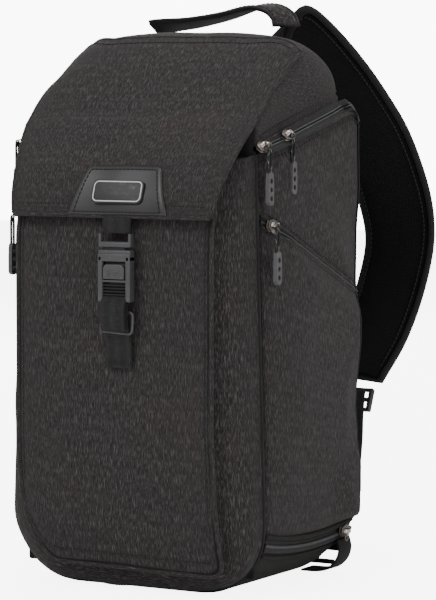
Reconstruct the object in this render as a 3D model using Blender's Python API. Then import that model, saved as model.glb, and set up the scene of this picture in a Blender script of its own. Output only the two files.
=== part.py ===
"""Camera sling bag, modelled as separate sewn panels and moulded hardware.

World frame: +Z up, the front faces -Y, +X is to the right as the front is seen.
The origin is on the ground at the middle of the flat base. All sizes are metres.
"""
import math

import bmesh
import bpy
from mathutils import Matrix, Vector

MM = 0.001
GAP = 0.5 * MM                      # clearance left between touching pieces

# Overall body
BODY_TOP = 391 * MM                 # height of the top ridge
RIDGE_Y = 28 * MM                   # how far back the top ridge stands
BACK_Y = 86 * MM                    # outer face of the back
FRONT_WALL_Y = -50 * MM             # outer face of the wall behind the front pocket
WALL = 8 * MM                       # padded wall thickness
BODY_HALF = 101 * MM                # half width of the body near its base
WALL_HALF = 95.2 * MM               # half width of the front and back walls

# Base
BASE_CORNER_X = 50 * MM             # half axes of the rounded base corners
BASE_CORNER_Z = 40 * MM
BASE_HEIGHT = 12 * MM
BASE_FRONT_Y = -78 * MM
BASE_REAR_Y = 80 * MM
BAND_TOP = 46 * MM

# Side door and its zip, which rises towards the back
ZIP_FRONT_Z = 310.5 * MM
ZIP_SLOPE = 0.2478
DOOR_INNER_X = 96.2 * MM
DOOR_OUTER_X = 100.5 * MM
DOOR_FRONT_Y = -47 * MM
DOOR_REAR_Y = 77 * MM
DOOR_BOTTOM = 47.5 * MM
TAPE = 1.5 * MM

# Slanted zip of the side pocket
POCKET_ZIP_FRONT_Z = 262 * MM
POCKET_ZIP_SLOPE = -0.421
SIDE_POCKET_FRONT_Y = -44 * MM
SIDE_POCKET_REAR_Y = 73 * MM
SIDE_POCKET_THICK = 3 * MM

# Front flap
FLAP_AXIS_Y = -50.2 * MM
FLAP_AXIS_Z = 331 * MM
FLAP_THICK = 3 * MM
FLAP_TOP_HALF = 92 * MM
FLAP_LOW_HALF = 82.6 * MM
FLAP_LOW_Y = -89.2 * MM
FLAP_LOW_Z = 264 * MM

# Front pocket
POCKET_FRONT_Y = -85 * MM
POCKET_FRONT_HALF = 83 * MM
POCKET_SKIN = 3 * MM
POCKET_BOTTOM = 13 * MM

# Webbing and side-release buckle
WEB_HALF = 10.6 * MM
FASTENER_X = 4 * MM                 # how far right of the middle the patch and the buckle sit
BUCKLE_HALF = 13 * MM
BUCKLE_LOW = 204.5 * MM
BUCKLE_HIGH = 241.7 * MM
BUCKLE_BACK_Y = -87.3 * MM
BUCKLE_FRONT_Y = -94.8 * MM
BUTTON_HALF = 8.8 * MM
BUTTON_LOW = 220 * MM
BUTTON_HIGH = 232 * MM

# Zip sliders and pulls
SLIDER_LONG = 11 * MM
SLIDER_WIDE = 8 * MM
SLIDER_HIGH = 4.6 * MM
GRIP_WIDE = 7.2 * MM
GRIP_LONG = 23.5 * MM
GRIP_THICK = 3.6 * MM
CORD_RADIUS = 0.9 * MM
UPPER_SLIDERS_Y = (-41 * MM, -14 * MM)
UPPER_SLIDER_X = 97.5 * MM
UPPER_PULL_X = 103.5 * MM           # fold line of the pulls on the upper zip
POCKET_SLIDER_Y = -42 * MM
PULL_DROP = 18 * MM                 # cord length below the fold line, as it hangs
BASE_SLIDER_Y = 66 * MM
BASE_ZIP_Z = 35 * MM

# Grab handle: the (y, z) of the line that it folds about, and its middle line
HANDLE_AXIS = (0.066, 0.3925)
HANDLE_ROUTE = [(-0.056, 0.066, 0.3955), (-0.046, 0.068, 0.3980), (-0.025, 0.070, 0.4000), (0.002, 0.070, 0.4045),
                (0.026, 0.070, 0.4100), (0.041, 0.070, 0.4088), (0.050, 0.069, 0.4032), (0.054, 0.067, 0.3960)]

STRAP_THICK = 8 * MM

# Outer and inner edge of the padded strap, from the top of the back down to its lower end
STRAP_OUTER = [(0.040, 0.0868, 0.384), (0.044, 0.0910, 0.402), (0.053, 0.098, 0.4125), (0.063, 0.115, 0.402),
               (0.074, 0.145, 0.3765), (0.084, 0.172, 0.347), (0.092, 0.195, 0.316), (0.099, 0.214, 0.272),
               (0.100, 0.219, 0.235), (0.098, 0.206, 0.196), (0.094, 0.184, 0.160), (0.086, 0.160, 0.130)]
STRAP_INNER = [(-0.010, 0.0868, 0.358), (0.001, 0.093, 0.368), (0.011, 0.107, 0.3750), (0.015, 0.125, 0.372),
               (0.021, 0.150, 0.3560), (0.028, 0.174, 0.334), (0.034, 0.194, 0.308), (0.039, 0.212, 0.268),
               (0.041, 0.216, 0.234), (0.040, 0.203, 0.198), (0.041, 0.181, 0.164), (0.046, 0.158, 0.134)]
STRAP_WEB_ROUTE = [(0.068, 0.1405, 0.1080), (0.072, 0.131, 0.0860), (0.076, 0.117, 0.0590),
                   (0.078, 0.104, 0.0380), (0.078, 0.0955, 0.0280)]


def clear_scene():
    """Remove every object that is already in the file."""
    for item in list(bpy.data.objects):
        bpy.data.objects.remove(item, do_unlink=True)


def material(name, colour, roughness, metallic=0.0):
    """Return the named Principled material, made on first use."""
    found = bpy.data.materials.get(name)
    if found:
        return found
    made = bpy.data.materials.new(name)
    made.use_nodes = True
    shader = made.node_tree.nodes["Principled BSDF"]
    shader.inputs["Base Color"].default_value = (*colour, 1.0)
    shader.inputs["Roughness"].default_value = roughness
    shader.inputs["Metallic"].default_value = metallic
    return made


def heather():
    return material("heather_fabric", (0.045, 0.040, 0.040), 0.9)


def nylon():
    return material("black_nylon", (0.012, 0.012, 0.013), 0.85)


def foam():
    return material("divider_foam", (0.10, 0.10, 0.11), 0.95)


def mesh_cloth():
    return material("spacer_mesh", (0.010, 0.010, 0.010), 0.95)


def webbing():
    return material("webbing", (0.022, 0.021, 0.021), 0.8)


def moulded():
    return material("moulded_plastic", (0.11, 0.11, 0.115), 0.45)


def leatherette():
    return material("leatherette", (0.06, 0.058, 0.06), 0.5)


def nickel():
    return material("antique_nickel", (0.36, 0.32, 0.28), 0.3, 1.0)


def rubber():
    return material("grip_rubber", (0.09, 0.09, 0.09), 0.6)


def keep(name, bm, surface):
    """Store a bmesh as one object with outward faces and one material."""
    bmesh.ops.remove_doubles(bm, verts=bm.verts, dist=0.00001)
    bmesh.ops.recalc_face_normals(bm, faces=bm.faces)
    data = bpy.data.meshes.new(name)
    bm.to_mesh(data)
    bm.free()
    data.materials.append(surface)
    made = bpy.data.objects.new(name, data)
    bpy.context.collection.objects.link(made)
    data.shade_smooth()
    data.set_sharp_from_angle(angle=math.radians(35))
    return made


def rest_on(moved, point):
    """Put an object's origin at a world point and leave its shape in place."""
    moved.data.transform(Matrix.Translation(-Vector(point)))
    moved.location = point
    return moved


def make_cutter(item):
    """Mark an object as a cutter, which is not a piece of the bag."""
    item.hide_render = True
    item.display_type = "WIRE"
    return item


def cut(target, cutter, operation="DIFFERENCE"):
    """Cut a piece with a hidden solid."""
    change = target.modifiers.new("cut", "BOOLEAN")
    change.operation = operation
    change.solver = "EXACT"
    change.object = make_cutter(cutter)
    return target


def box_bmesh(low, high):
    """Return a box between two corners."""
    bm = bmesh.new()
    bmesh.ops.create_cube(bm, size=1.0)
    low = Vector(low)
    high = Vector(high)
    bmesh.ops.scale(bm, vec=high - low, verts=bm.verts)
    bmesh.ops.translate(bm, vec=(high + low) / 2, verts=bm.verts)
    return bm


def box(name, low, high, surface, bevel=0.0):
    """Make a box piece, with all its edges rounded when a bevel is given."""
    bm = box_bmesh(low, high)
    if bevel:
        bmesh.ops.bevel(bm, geom=bm.edges[:], offset=bevel, segments=2, profile=0.5, affect="EDGES")
    return keep(name, bm, surface)


def axis_vector(axis, along, first, second):
    """Place a profile point: the profile's two values run along the other two axes."""
    if axis == "X":
        return Vector((along, first, second))
    if axis == "Y":
        return Vector((first, along, second))
    return Vector((first, second, along))


def prism(name, outline, axis, low, high, surface, bevel=0.0):
    """Extrude a closed outline along an axis."""
    bm = bmesh.new()
    ring = [bm.verts.new(axis_vector(axis, low, a, b)) for a, b in outline]
    face = bm.faces.new(ring)
    swept = bmesh.ops.extrude_face_region(bm, geom=[face])
    moved = [item for item in swept["geom"] if isinstance(item, bmesh.types.BMVert)]
    bmesh.ops.translate(bm, vec=axis_vector(axis, high - low, 0, 0), verts=moved)
    if bevel:
        ends = [e for e in bm.edges if abs((e.verts[0].co - e.verts[1].co).dot(axis_vector(axis, 1, 0, 0))) < 1e-7]
        bmesh.ops.bevel(bm, geom=ends, offset=bevel, segments=2, profile=0.5, affect="EDGES")
    return keep(name, bm, surface)


def loft(name, rings, surface):
    """Join rings of matching points into one closed solid."""
    bm = bmesh.new()
    loops = [[bm.verts.new(point) for point in ring] for ring in rings]
    count = len(loops[0])
    for first, second in zip(loops, loops[1:]):
        for i in range(count):
            j = (i + 1) % count
            bm.faces.new((first[i], first[j], second[j], second[i]))
    bm.faces.new(loops[0])
    bm.faces.new(loops[-1][::-1])
    return keep(name, bm, surface)


def cubic(p0, p1, p2, p3, steps):
    """Return points along a cubic curve, both ends included."""
    points = []
    for i in range(steps + 1):
        t = i / steps
        u = 1 - t
        weights = (u ** 3, 3 * u * u * t, 3 * u * t * t, t ** 3)
        points.append(tuple(sum(w * p[k] for w, p in zip(weights, (p0, p1, p2, p3))) for k in range(len(p0))))
    return points


def smooth_path(points, steps):
    """Return points on a smooth curve through the given ones."""
    points = [Vector(p) for p in points]
    padded = [2 * points[0] - points[1]] + points + [2 * points[-1] - points[-2]]
    path = []
    for a, b, c, d in zip(padded, padded[1:], padded[2:], padded[3:]):
        for i in range(steps):
            t = i / steps
            path.append(0.5 * (2 * b + (c - a) * t + (2 * a - 5 * b + 4 * c - d) * t ** 2
                               + (3 * b - a - 3 * c + d) * t ** 3))
    path.append(points[-1])
    return path


def offset_line(line, distance):
    """Shift an open line of (y, z) points to its left by a distance."""
    shifted = []
    for i, point in enumerate(line):
        before = Vector(line[max(i - 1, 0)])
        after = Vector(line[min(i + 1, len(line) - 1)])
        along = (after - before).normalized()
        shifted.append((point[0] - along.y * distance, point[1] + along.x * distance))
    return shifted


def zip_height(y):
    """Height of the side door's zip at a depth."""
    return ZIP_FRONT_Z + ZIP_SLOPE * (y - FRONT_WALL_Y)


def pocket_zip_height(y):
    """Height of the side pocket's zip at a depth."""
    return POCKET_ZIP_FRONT_Z + POCKET_ZIP_SLOPE * (y - FRONT_WALL_Y)


def front_slope(steps=8):
    """Outer line of the top from the flap seam up to the ridge, as (y, z)."""
    return cubic((-0.048, 0.329), (-0.031, 0.3476), (-0.002, BODY_TOP), (RIDGE_Y, BODY_TOP), steps)


def rear_slope(steps=6):
    """Outer line of the top from the ridge down to the back, as (y, z)."""
    return cubic((RIDGE_Y, BODY_TOP), (0.060, BODY_TOP), (0.084, 0.372), (BACK_Y, zip_height(BACK_Y) + GAP), steps)


def hood_outline(inset):
    """Front view outline of the rounded top, as (x, z)."""
    half = 0.093 - inset
    top = BODY_TOP + 0.001 - inset
    corner = cubic((half, 0.335), (half, 0.370), (half - 0.009, top), (half - 0.038, top), 6)
    mirrored = [(-x, z) for x, z in reversed(corner)]
    return [(half, 0.250)] + corner + mirrored + [(-half, 0.250)]


def top_hood():
    """Stiffened top of the bag: hollow, open below."""
    outer = [(-0.048, zip_height(-0.048) + GAP)] + front_slope() + rear_slope()[1:]
    hood = prism("top_hood", outer, "X", -0.100, 0.100, heather())
    cut(hood, prism("hood_outline", hood_outline(0.0), "Y", -0.12, 0.12, nylon()), "INTERSECT")
    line = offset_line(front_slope()[1:] + rear_slope()[1:-1], -WALL * 0.8)
    inner = [(-0.0405, 0.250), (-0.0405, 0.325)] + line + [(BACK_Y - WALL, 0.345), (BACK_Y - WALL, 0.250)]
    hollow = prism("hood_hollow", inner, "X", -0.0998, 0.0998, nylon())
    cut(hollow, prism("hood_hollow_outline", hood_outline(WALL * 0.8), "Y", -0.11, 0.11, nylon()), "INTERSECT")
    return cut(hood, hollow)


def crown_cover():
    """Fabric skin over the front slope of the hood, sewn in along the ridge."""
    line = front_slope(8)
    inner = offset_line(line, 0.4 * MM)
    outer = offset_line(line, 2.8 * MM)
    halves = [FLAP_TOP_HALF + (0.060 - FLAP_TOP_HALF) * max(0.0, i / 8 - 0.35) / 0.65 for i in range(9)]
    rings = []
    for low, high, half in zip(inner, outer, halves):
        rings.append([(-half, *low), (half, *low), (half, *high), (-half, *high)])
    return loft("crown_cover", rings, heather())


def base_curve(z):
    """Half width of the rounded base at a height."""
    drop = (BASE_CORNER_Z - min(z, BASE_CORNER_Z)) / BASE_CORNER_Z
    return BODY_HALF - BASE_CORNER_X + BASE_CORNER_X * math.sqrt(1 - drop * drop)


def base_panel():
    """Padded bottom with a flat middle and corners that curve up."""
    side = [(base_curve(BASE_HEIGHT * i / 6), BASE_HEIGHT * i / 6) for i in range(7)]
    outline = side + [(-x, z) for x, z in reversed(side)]
    return prism("base_panel", outline, "Y", BASE_FRONT_Y, BASE_REAR_Y, heather())


def side_band(name, side):
    """Lower side panel that carries the base zip."""
    heights = [BASE_HEIGHT + GAP + (BAND_TOP - BASE_HEIGHT - GAP) * i / 6 for i in range(7)]
    outer = [(side * base_curve(z), z) for z in heights]
    inner = [(side * (base_curve(z) - WALL), z) for z in reversed(heights)]
    return prism(name, outer + inner, "Y", FRONT_WALL_Y + WALL + GAP, BACK_Y - WALL - GAP, heather())


def wall(name, low_y, high_y, top, surface):
    """Flat padded wall with its lower corners cut to the base's curve."""
    heights = [BASE_HEIGHT + GAP + (BASE_CORNER_Z - BASE_HEIGHT) * i / 5 for i in range(6)]
    side = [(min(base_curve(z), WALL_HALF), z) for z in heights] + [(WALL_HALF, top)]
    outline = side + [(-x, z) for x, z in reversed(side)]
    return prism(name, outline, "Y", low_y, high_y, surface)


def front_wall():
    return wall("front_wall", FRONT_WALL_Y, FRONT_WALL_Y + WALL, ZIP_FRONT_Z - GAP, nylon())


def back_panel():
    top = zip_height(BACK_Y - WALL) - GAP
    return wall("back_panel", BACK_Y - WALL, BACK_Y, top, mesh_cloth())


def divider(name, z):
    """Padded shelf between the front wall and the back panel."""
    low = (-0.088, FRONT_WALL_Y + WALL + 2 * MM, z - 4 * MM)
    high = (0.088, BACK_Y - WALL - 2 * MM, z + 4 * MM)
    return box(name, low, high, foam())


def pocket_outline():
    """Front view outline of the pocket: rounded low corners and a slight taper upwards."""
    side = [(base_curve(BASE_CORNER_Z * i / 6), BASE_CORNER_Z * i / 6) for i in range(7)]
    side += [(0.0985, 0.200), (0.0925, 0.300), (0.0905, 0.340)]
    return side + [(-x, z) for x, z in reversed(side)]


def front_pocket():
    """Bellows pocket on the front, open at its top."""
    rear = FRONT_WALL_Y - GAP
    plan = [(-BODY_HALF, rear), (-0.088, -0.078), (-POCKET_FRONT_HALF, POCKET_FRONT_Y)]
    plan += [(-x, y) for x, y in reversed(plan)]
    pocket = prism("front_pocket", plan, "Z", POCKET_BOTTOM, 0.330, heather())
    inner = [(-BODY_HALF + POCKET_SKIN, rear + 0.004), (-0.0855, -0.0765)]
    inner.append((-POCKET_FRONT_HALF + 0.002, POCKET_FRONT_Y + POCKET_SKIN))
    inner += [(-x, y) for x, y in reversed(inner)]
    hollow = prism("pocket_hollow", inner, "Z", POCKET_BOTTOM + POCKET_SKIN, 0.360, nylon())
    cut(pocket, hollow)
    cut(pocket, prism("pocket_outline", pocket_outline(), "Y", -0.12, 0.0, nylon()), "INTERSECT")
    slant = [(-0.040, 0.330)] + offset_line(flap_line(), FLAP_THICK + 0.9 * MM)
    slant += [(-0.100, FLAP_LOW_Z), (-0.100, 0.400), (-0.040, 0.400)]
    return cut(pocket, prism("pocket_slant", slant, "X", -0.12, 0.12, nylon()))


def flap_line():
    """Outer line of the flap from its fold down to its hem, as (y, z)."""
    bend = cubic((FLAP_AXIS_Y - 0.4 * MM, FLAP_AXIS_Z - 0.45 * MM), (-0.072, 0.306), (-0.087, 0.288),
                 (FLAP_LOW_Y, FLAP_LOW_Z), 7)
    return bend


def front_flap():
    """Flap over the pocket, which folds about its sewn top edge."""
    outer = flap_line()
    inner = offset_line(outer, FLAP_THICK)
    rings = []
    for i, (low, high) in enumerate(zip(inner, outer)):
        half = FLAP_TOP_HALF + (FLAP_LOW_HALF - FLAP_TOP_HALF) * i / (len(outer) - 1)
        rings.append([(-half, *low), (half, *low), (half, *high), (-half, *high)])
    return rest_on(loft("front_flap", rings, heather()), (0, FLAP_AXIS_Y, FLAP_AXIS_Z))


def flap_patch():
    """Trapezoid leatherette patch sewn over the flap's hem."""
    line = flap_line()[3:]
    inner = offset_line(line, -GAP)
    outer = offset_line(line, -GAP - 1.2 * MM)
    rings = []
    for i, (low, high) in enumerate(zip(inner, outer)):
        half = 0.0295 + 0.0105 * i / (len(line) - 1)
        rings.append([(-half, *low), (half, *low), (half, *high), (-half, *high)])
    return rest_on(loft("flap_patch", rings, leatherette()), (0, FLAP_AXIS_Y, FLAP_AXIS_Z))


def badge_plate():
    """Plain rounded plate on the patch."""
    bm = box_bmesh((-0.0205, -0.0015, -0.0085), (0.0205, 0, 0.0085))
    upright = [e for e in bm.edges if abs(e.verts[0].co.y - e.verts[1].co.y) > 0.001]
    bmesh.ops.bevel(bm, geom=upright, offset=2 * MM, segments=3, profile=0.5, affect="EDGES")
    lean = math.atan2(0.0046, 0.024)
    place = Matrix.Translation((0, -0.0899, 0.2795)) @ Matrix.Rotation(-lean, 4, "X")
    bmesh.ops.transform(bm, matrix=place, verts=bm.verts)
    return rest_on(keep("badge_plate", bm, moulded()), (0, FLAP_AXIS_Y, FLAP_AXIS_Z))


def flap_webbing():
    """Short webbing between the flap's hem and the buckle's upper half."""
    low = (-WEB_HALF, -0.0905, 0.2528)
    high = (WEB_HALF, -0.0885, FLAP_LOW_Z - GAP)
    return rest_on(box("flap_webbing", low, high, webbing()), (0, FLAP_AXIS_Y, FLAP_AXIS_Z))


def buckle_tongue():
    """Upper half of the buckle: two ears, a bar and a short blade."""
    h = BUCKLE_HALF
    ear = 1.9 * MM
    low = BUCKLE_HIGH + GAP
    outline = [(-h, low), (-0.0065, low), (-0.0065, low - 3.5 * MM), (0.0065, low - 3.5 * MM), (0.0065, low)]
    outline += [(h, low), (h, 0.2522), (h - ear, 0.2522), (h - ear, 0.2465), (ear - h, 0.2465)]
    outline += [(ear - h, 0.2522), (-h, 0.2522)]
    tongue = prism("buckle_tongue", outline, "Y", BUCKLE_FRONT_Y + 0.8 * MM, BUCKLE_BACK_Y - 0.6 * MM, moulded())
    return rest_on(tongue, (0, FLAP_AXIS_Y, FLAP_AXIS_Z))


def buckle_body():
    """Lower half of the buckle, with the button's window and a ladder for webbing."""
    bm = box_bmesh((-BUCKLE_HALF, BUCKLE_FRONT_Y, BUCKLE_LOW), (BUCKLE_HALF, BUCKLE_BACK_Y, BUCKLE_HIGH))
    upright = [e for e in bm.edges if abs(e.verts[0].co.z - e.verts[1].co.z) > 0.01 and e.verts[0].co.y < -0.09]
    bmesh.ops.bevel(bm, geom=upright, offset=1.6 * MM, segments=3, profile=0.5, affect="EDGES")
    body = keep("buckle_body", bm, moulded())
    window = box("button_window", (-BUTTON_HALF - 0.4 * MM, -0.110, BUTTON_LOW - 0.4 * MM),
                 (BUTTON_HALF + 0.4 * MM, BUCKLE_BACK_Y - 1.4 * MM, BUTTON_HIGH + 0.4 * MM), moulded())
    cut(body, window)
    mouth = box("tongue_mouth", (-0.0069, -0.110, BUCKLE_HIGH - 4.0 * MM),
                (0.0069, BUCKLE_BACK_Y - 0.2 * MM, BUCKLE_HIGH + 5 * MM), moulded())
    cut(body, mouth)
    for name, low, high in (("upper_slot", 0.2135, 0.2170), ("lower_slot", 0.2068, 0.2100)):
        cut(body, box(name, (-WEB_HALF - 0.4 * MM, -0.110, low), (WEB_HALF + 0.4 * MM, -0.080, high), moulded()))
    return body


def buckle_button():
    """Sprung release button in the buckle's window."""
    bm = box_bmesh((-BUTTON_HALF, BUCKLE_FRONT_Y - 0.5 * MM, BUTTON_LOW),
                   (BUTTON_HALF, BUCKLE_FRONT_Y + 2.4 * MM, BUTTON_HIGH))
    upright = [e for e in bm.edges if abs(e.verts[0].co.y - e.verts[1].co.y) > 0.001]
    bmesh.ops.bevel(bm, geom=upright, offset=2 * MM, segments=3, profile=0.5, affect="EDGES")
    button = keep("buckle_button", bm, moulded())
    return rest_on(button, (0, BUCKLE_FRONT_Y, (BUTTON_LOW + BUTTON_HIGH) / 2))


def lower_webbing():
    """Doubled webbing that comes out of the buckle and stands proud of the pocket."""
    line = smooth_path([(-0.0930, 0.2040), (-0.0965, 0.1975), (-0.0972, 0.1900), (-0.0955, 0.1845)], 3)
    outline = [tuple(point) for point in line] + offset_line(line, 2.4 * MM)[::-1]
    return prism("lower_webbing", outline, "X", -WEB_HALF, WEB_HALF, webbing())


def keeper_ring():
    """Flat rectangular ring that joins the webbing to its sewn tab."""
    ring = box("keeper_ring", (-0.0138, -0.0914, 0.1826), (0.0138, -0.0890, 0.1990), moulded(), 0.8 * MM)
    return cut(ring, box("ring_eye", (-0.0112, -0.100, 0.1854), (0.0112, -0.080, 0.1964), moulded()))


def sewn_tab():
    """Folded tab sewn to the pocket, which holds the ring."""
    return box("sewn_tab", (-0.0105, -0.0885, 0.1585), (0.0105, -0.0855, 0.1820), webbing())


def grab_handle():
    """Wide webbing handle over the back of the top."""
    middle = smooth_path(HANDLE_ROUTE, 3)
    rings = []
    for i, point in enumerate(middle):
        along = (middle[min(i + 1, len(middle) - 1)] - middle[max(i - 1, 0)]).normalized()
        up = Vector((-along.z, 0, along.x))
        turn = 0.55 * (1 - 2 * i / (len(middle) - 1))
        across = Vector((0, 1, 0)) * math.cos(turn) - up * math.sin(turn)
        thick = across.cross(along).normalized() * 1.5 * MM
        half = across * 12 * MM
        rings.append([point - half - thick, point + half - thick, point + half + thick, point - half + thick])
    return rest_on(loft("grab_handle", rings, webbing()), (0, HANDLE_AXIS[0], HANDLE_AXIS[1]))


def sling_strap():
    """Padded shoulder strap, arching from the top of the back to its lower end."""
    outer = smooth_path(STRAP_OUTER, 2)
    inner = smooth_path(STRAP_INNER, 2)
    rings = []
    for i, (far, near) in enumerate(zip(outer, inner)):
        last = len(outer) - 1
        along = (outer[min(i + 1, last)] + inner[min(i + 1, last)] - outer[max(i - 1, 0)] - inner[max(i - 1, 0)])
        thick = (far - near).cross(along).normalized() * STRAP_THICK
        rings.append([near, far, far - thick, near - thick])
    return loft("sling_strap", rings, mesh_cloth())


def strap_adjuster():
    """Ladder buckle at the lower end of the padded strap."""
    lean = Matrix.Rotation(math.radians(-24), 4, "X")
    place = Matrix.Translation((0.067, 0.1480, 0.1185)) @ lean
    adjuster = box("strap_adjuster", (-0.0165, -0.0025, -0.0090), (0.0165, 0.0025, 0.0090), moulded(), 1 * MM)
    adjuster.data.transform(place)
    for name, z in (("adjuster_upper_slot", 0.0035), ("adjuster_lower_slot", -0.0035)):
        slot = box(name, (-0.0132, -0.010, z - 0.0018), (0.0132, 0.010, z + 0.0018), moulded())
        slot.data.transform(place)
        cut(adjuster, slot)
    return adjuster


def strap_webbing():
    """Webbing from the adjuster down to the strap anchor."""
    path = smooth_path(STRAP_WEB_ROUTE, 3)
    rings = []
    for i, point in enumerate(path):
        along = (path[min(i + 1, len(path) - 1)] - path[max(i - 1, 0)]).normalized()
        across = Vector((1, 0, 0))
        thick = across.cross(along).normalized() * 1.0 * MM
        half = across * 12 * MM
        rings.append([point - half - thick, point + half - thick, point + half + thick, point - half + thick])
    return loft("strap_webbing", rings, webbing())


def strap_anchor():
    """Reinforced tab at the foot of the back panel, where the webbing is sewn in."""
    return box("strap_anchor", (0.060, BACK_Y + GAP, 0.0150), (0.094, BACK_Y + 5.5 * MM, 0.0330), nylon(), 1 * MM)


def base_loop():
    """Webbing loop under the right rear corner of the base."""
    line = smooth_path([(0.0715, 0.0006), (0.0840, 0.0008), (0.0940, 0.0034), (0.1020, 0.0100),
                        (0.1050, 0.0190), (0.1036, 0.0262)], 3)
    outline = [tuple(point) for point in line] + offset_line(line, 1.8 * MM)[::-1]
    return prism("base_loop", outline, "Y", 0.058, 0.078, webbing())


def side_door(name, side):
    """Padded access door, hinged along its front seam."""
    outline = [(DOOR_FRONT_Y, DOOR_BOTTOM), (DOOR_REAR_Y, DOOR_BOTTOM)]
    outline += [(DOOR_REAR_Y, zip_height(DOOR_REAR_Y) - 4 * MM), (DOOR_FRONT_Y, zip_height(DOOR_FRONT_Y) - 4 * MM)]
    low, high = sorted((side * DOOR_INNER_X, side * DOOR_OUTER_X))
    door = prism(name, outline, "X", low, high, heather())
    return rest_on(door, door_axis(side))


def door_axis(side):
    """Point on the fold line of a side door."""
    return (side * DOOR_OUTER_X, DOOR_FRONT_Y, 0.180)


def door_zip(name, side):
    """Zip tape along the top of a side door."""
    start = DOOR_FRONT_Y
    stop = DOOR_REAR_Y
    base = 4 * MM - GAP
    outline = [(start, zip_height(start) - base), (stop, zip_height(stop) - base)]
    outline += [(stop, zip_height(stop) - base + TAPE), (start, zip_height(start) - base + TAPE)]
    low, high = sorted((side * (DOOR_INNER_X + 1 * MM), side * DOOR_OUTER_X))
    return rest_on(prism(name, outline, "X", low, high, nylon()), door_axis(side))


def side_pocket(name, side):
    """Flat pocket panel sewn to the outside of a side door."""
    front = SIDE_POCKET_FRONT_Y
    rear = SIDE_POCKET_REAR_Y
    outline = [(front, 0.050), (rear, 0.050), (rear, pocket_zip_height(rear) - 5 * MM)]
    outline.append((front, pocket_zip_height(front) - 5 * MM))
    low, high = sorted((side * (DOOR_OUTER_X + GAP), side * (DOOR_OUTER_X + GAP + SIDE_POCKET_THICK)))
    return rest_on(prism(name, outline, "X", low, high, heather()), door_axis(side))


def pocket_zip(name, side):
    """Zip tape along the slanted mouth of a side pocket."""
    front = SIDE_POCKET_FRONT_Y
    rear = SIDE_POCKET_REAR_Y
    half = 4.5 * MM
    outline = [(front, pocket_zip_height(front) - half), (rear, pocket_zip_height(rear) - half)]
    outline += [(rear, pocket_zip_height(rear) + half), (front, pocket_zip_height(front) + half)]
    low, high = sorted((side * (DOOR_OUTER_X + GAP), side * (DOOR_OUTER_X + GAP + TAPE)))
    return rest_on(prism(name, outline, "X", low, high, nylon()), door_axis(side))


def base_zip(name, side):
    """Zip tape along the lower side panel."""
    outline = []
    for shift in (GAP, GAP + TAPE):
        heights = [0.0295, BASE_ZIP_Z, 0.0400]
        line = [(side * (base_curve(z) + shift), z) for z in heights]
        outline += line if shift == GAP else line[::-1]
    return prism(name, outline, "Y", FRONT_WALL_Y + WALL + 2 * MM, BACK_Y - WALL - 2 * MM, nylon())


def slider(name, centre, along, normal):
    """Zip slider: a waisted plate with a bridge for its pull."""
    across = Vector(normal).cross(Vector(along))
    frame = Matrix((Vector(along), across, Vector(normal))).transposed().to_4x4()
    frame.translation = Vector(centre)
    long = SLIDER_LONG / 2
    wide = SLIDER_WIDE / 2
    bm = bmesh.new()
    plan = [(-long, -wide * 0.55), (-long * 0.2, -wide), (long * 0.7, -wide), (long, -wide * 0.5),
            (long, wide * 0.5), (long * 0.7, wide), (-long * 0.2, wide), (-long, wide * 0.55)]
    ring = [bm.verts.new((a, b, 0)) for a, b in plan]
    face = bm.faces.new(ring)
    swept = bmesh.ops.extrude_face_region(bm, geom=[face])
    moved = [item for item in swept["geom"] if isinstance(item, bmesh.types.BMVert)]
    bmesh.ops.translate(bm, vec=(0, 0, 2.2 * MM), verts=moved)
    made = keep(name, bm, nickel())
    bridge = prism(f"{name}_bridge", [(-long * 0.6, 0.0010), (long * 0.7, 0.0010), (long * 0.5, SLIDER_HIGH),
                                      (-long * 0.4, SLIDER_HIGH)], "Y", -1.3 * MM, 1.3 * MM, nickel())
    cut(made, bridge, "UNION")
    for item in (made, bridge):
        item.data.transform(frame)
    return rest_on(made, centre)


def pull(name, joint):
    """Cord loop and rubber grip that hang from a slider, below the joint point."""
    drop = PULL_DROP
    place = Matrix.Translation(Vector(joint))
    steps = 14
    half_wide = 2.1 * MM
    points = []
    for i in range(steps):
        angle = 2 * math.pi * i / steps
        middle = -1.2 * MM - half_wide if math.sin(angle) >= 0 else -drop + half_wide + CORD_RADIUS
        points.append((0, half_wide * math.cos(angle), middle + half_wide * math.sin(angle)))
    curve = bpy.data.curves.new(f"cord_{name}", "CURVE")
    curve.dimensions = "3D"
    curve.bevel_depth = CORD_RADIUS
    curve.bevel_resolution = 1
    spline = curve.splines.new("POLY")
    spline.points.add(len(points) - 1)
    for target, point in zip(spline.points, points):
        target.co = (*point, 1.0)
    spline.use_cyclic_u = True
    curve.materials.append(nylon())
    cord = bpy.data.objects.new(f"cord_{name}", curve)
    cord.location = joint
    bpy.context.collection.objects.link(cord)

    grip_low = -drop - GRIP_LONG
    grip = box_bmesh((-GRIP_THICK / 2, -GRIP_WIDE / 2, grip_low), (GRIP_THICK / 2, GRIP_WIDE / 2, -drop - GAP))
    ends = [e for e in grip.edges if abs(e.verts[0].co.x - e.verts[1].co.x) > 0.001]
    bmesh.ops.bevel(grip, geom=ends, offset=1.4 * MM, segments=2, profile=0.5, affect="EDGES")
    made = keep(f"grip_{name}", grip, rubber())
    for i in range(3):
        bm = bmesh.new()
        bmesh.ops.create_cone(bm, cap_ends=True, segments=10, radius1=1.5 * MM, radius2=1.5 * MM, depth=0.02)
        centre = Matrix.Translation((0, 0, grip_low + (5.5 + 6.2 * i) * MM))
        bmesh.ops.transform(bm, matrix=place @ centre @ Matrix.Rotation(math.pi / 2, 4, "Y"), verts=bm.verts)
        cut(made, keep(f"grip_{name}_hole_{i}", bm, rubber()))
    made.data.transform(place)
    rest_on(made, joint)
    return cord, made


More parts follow.
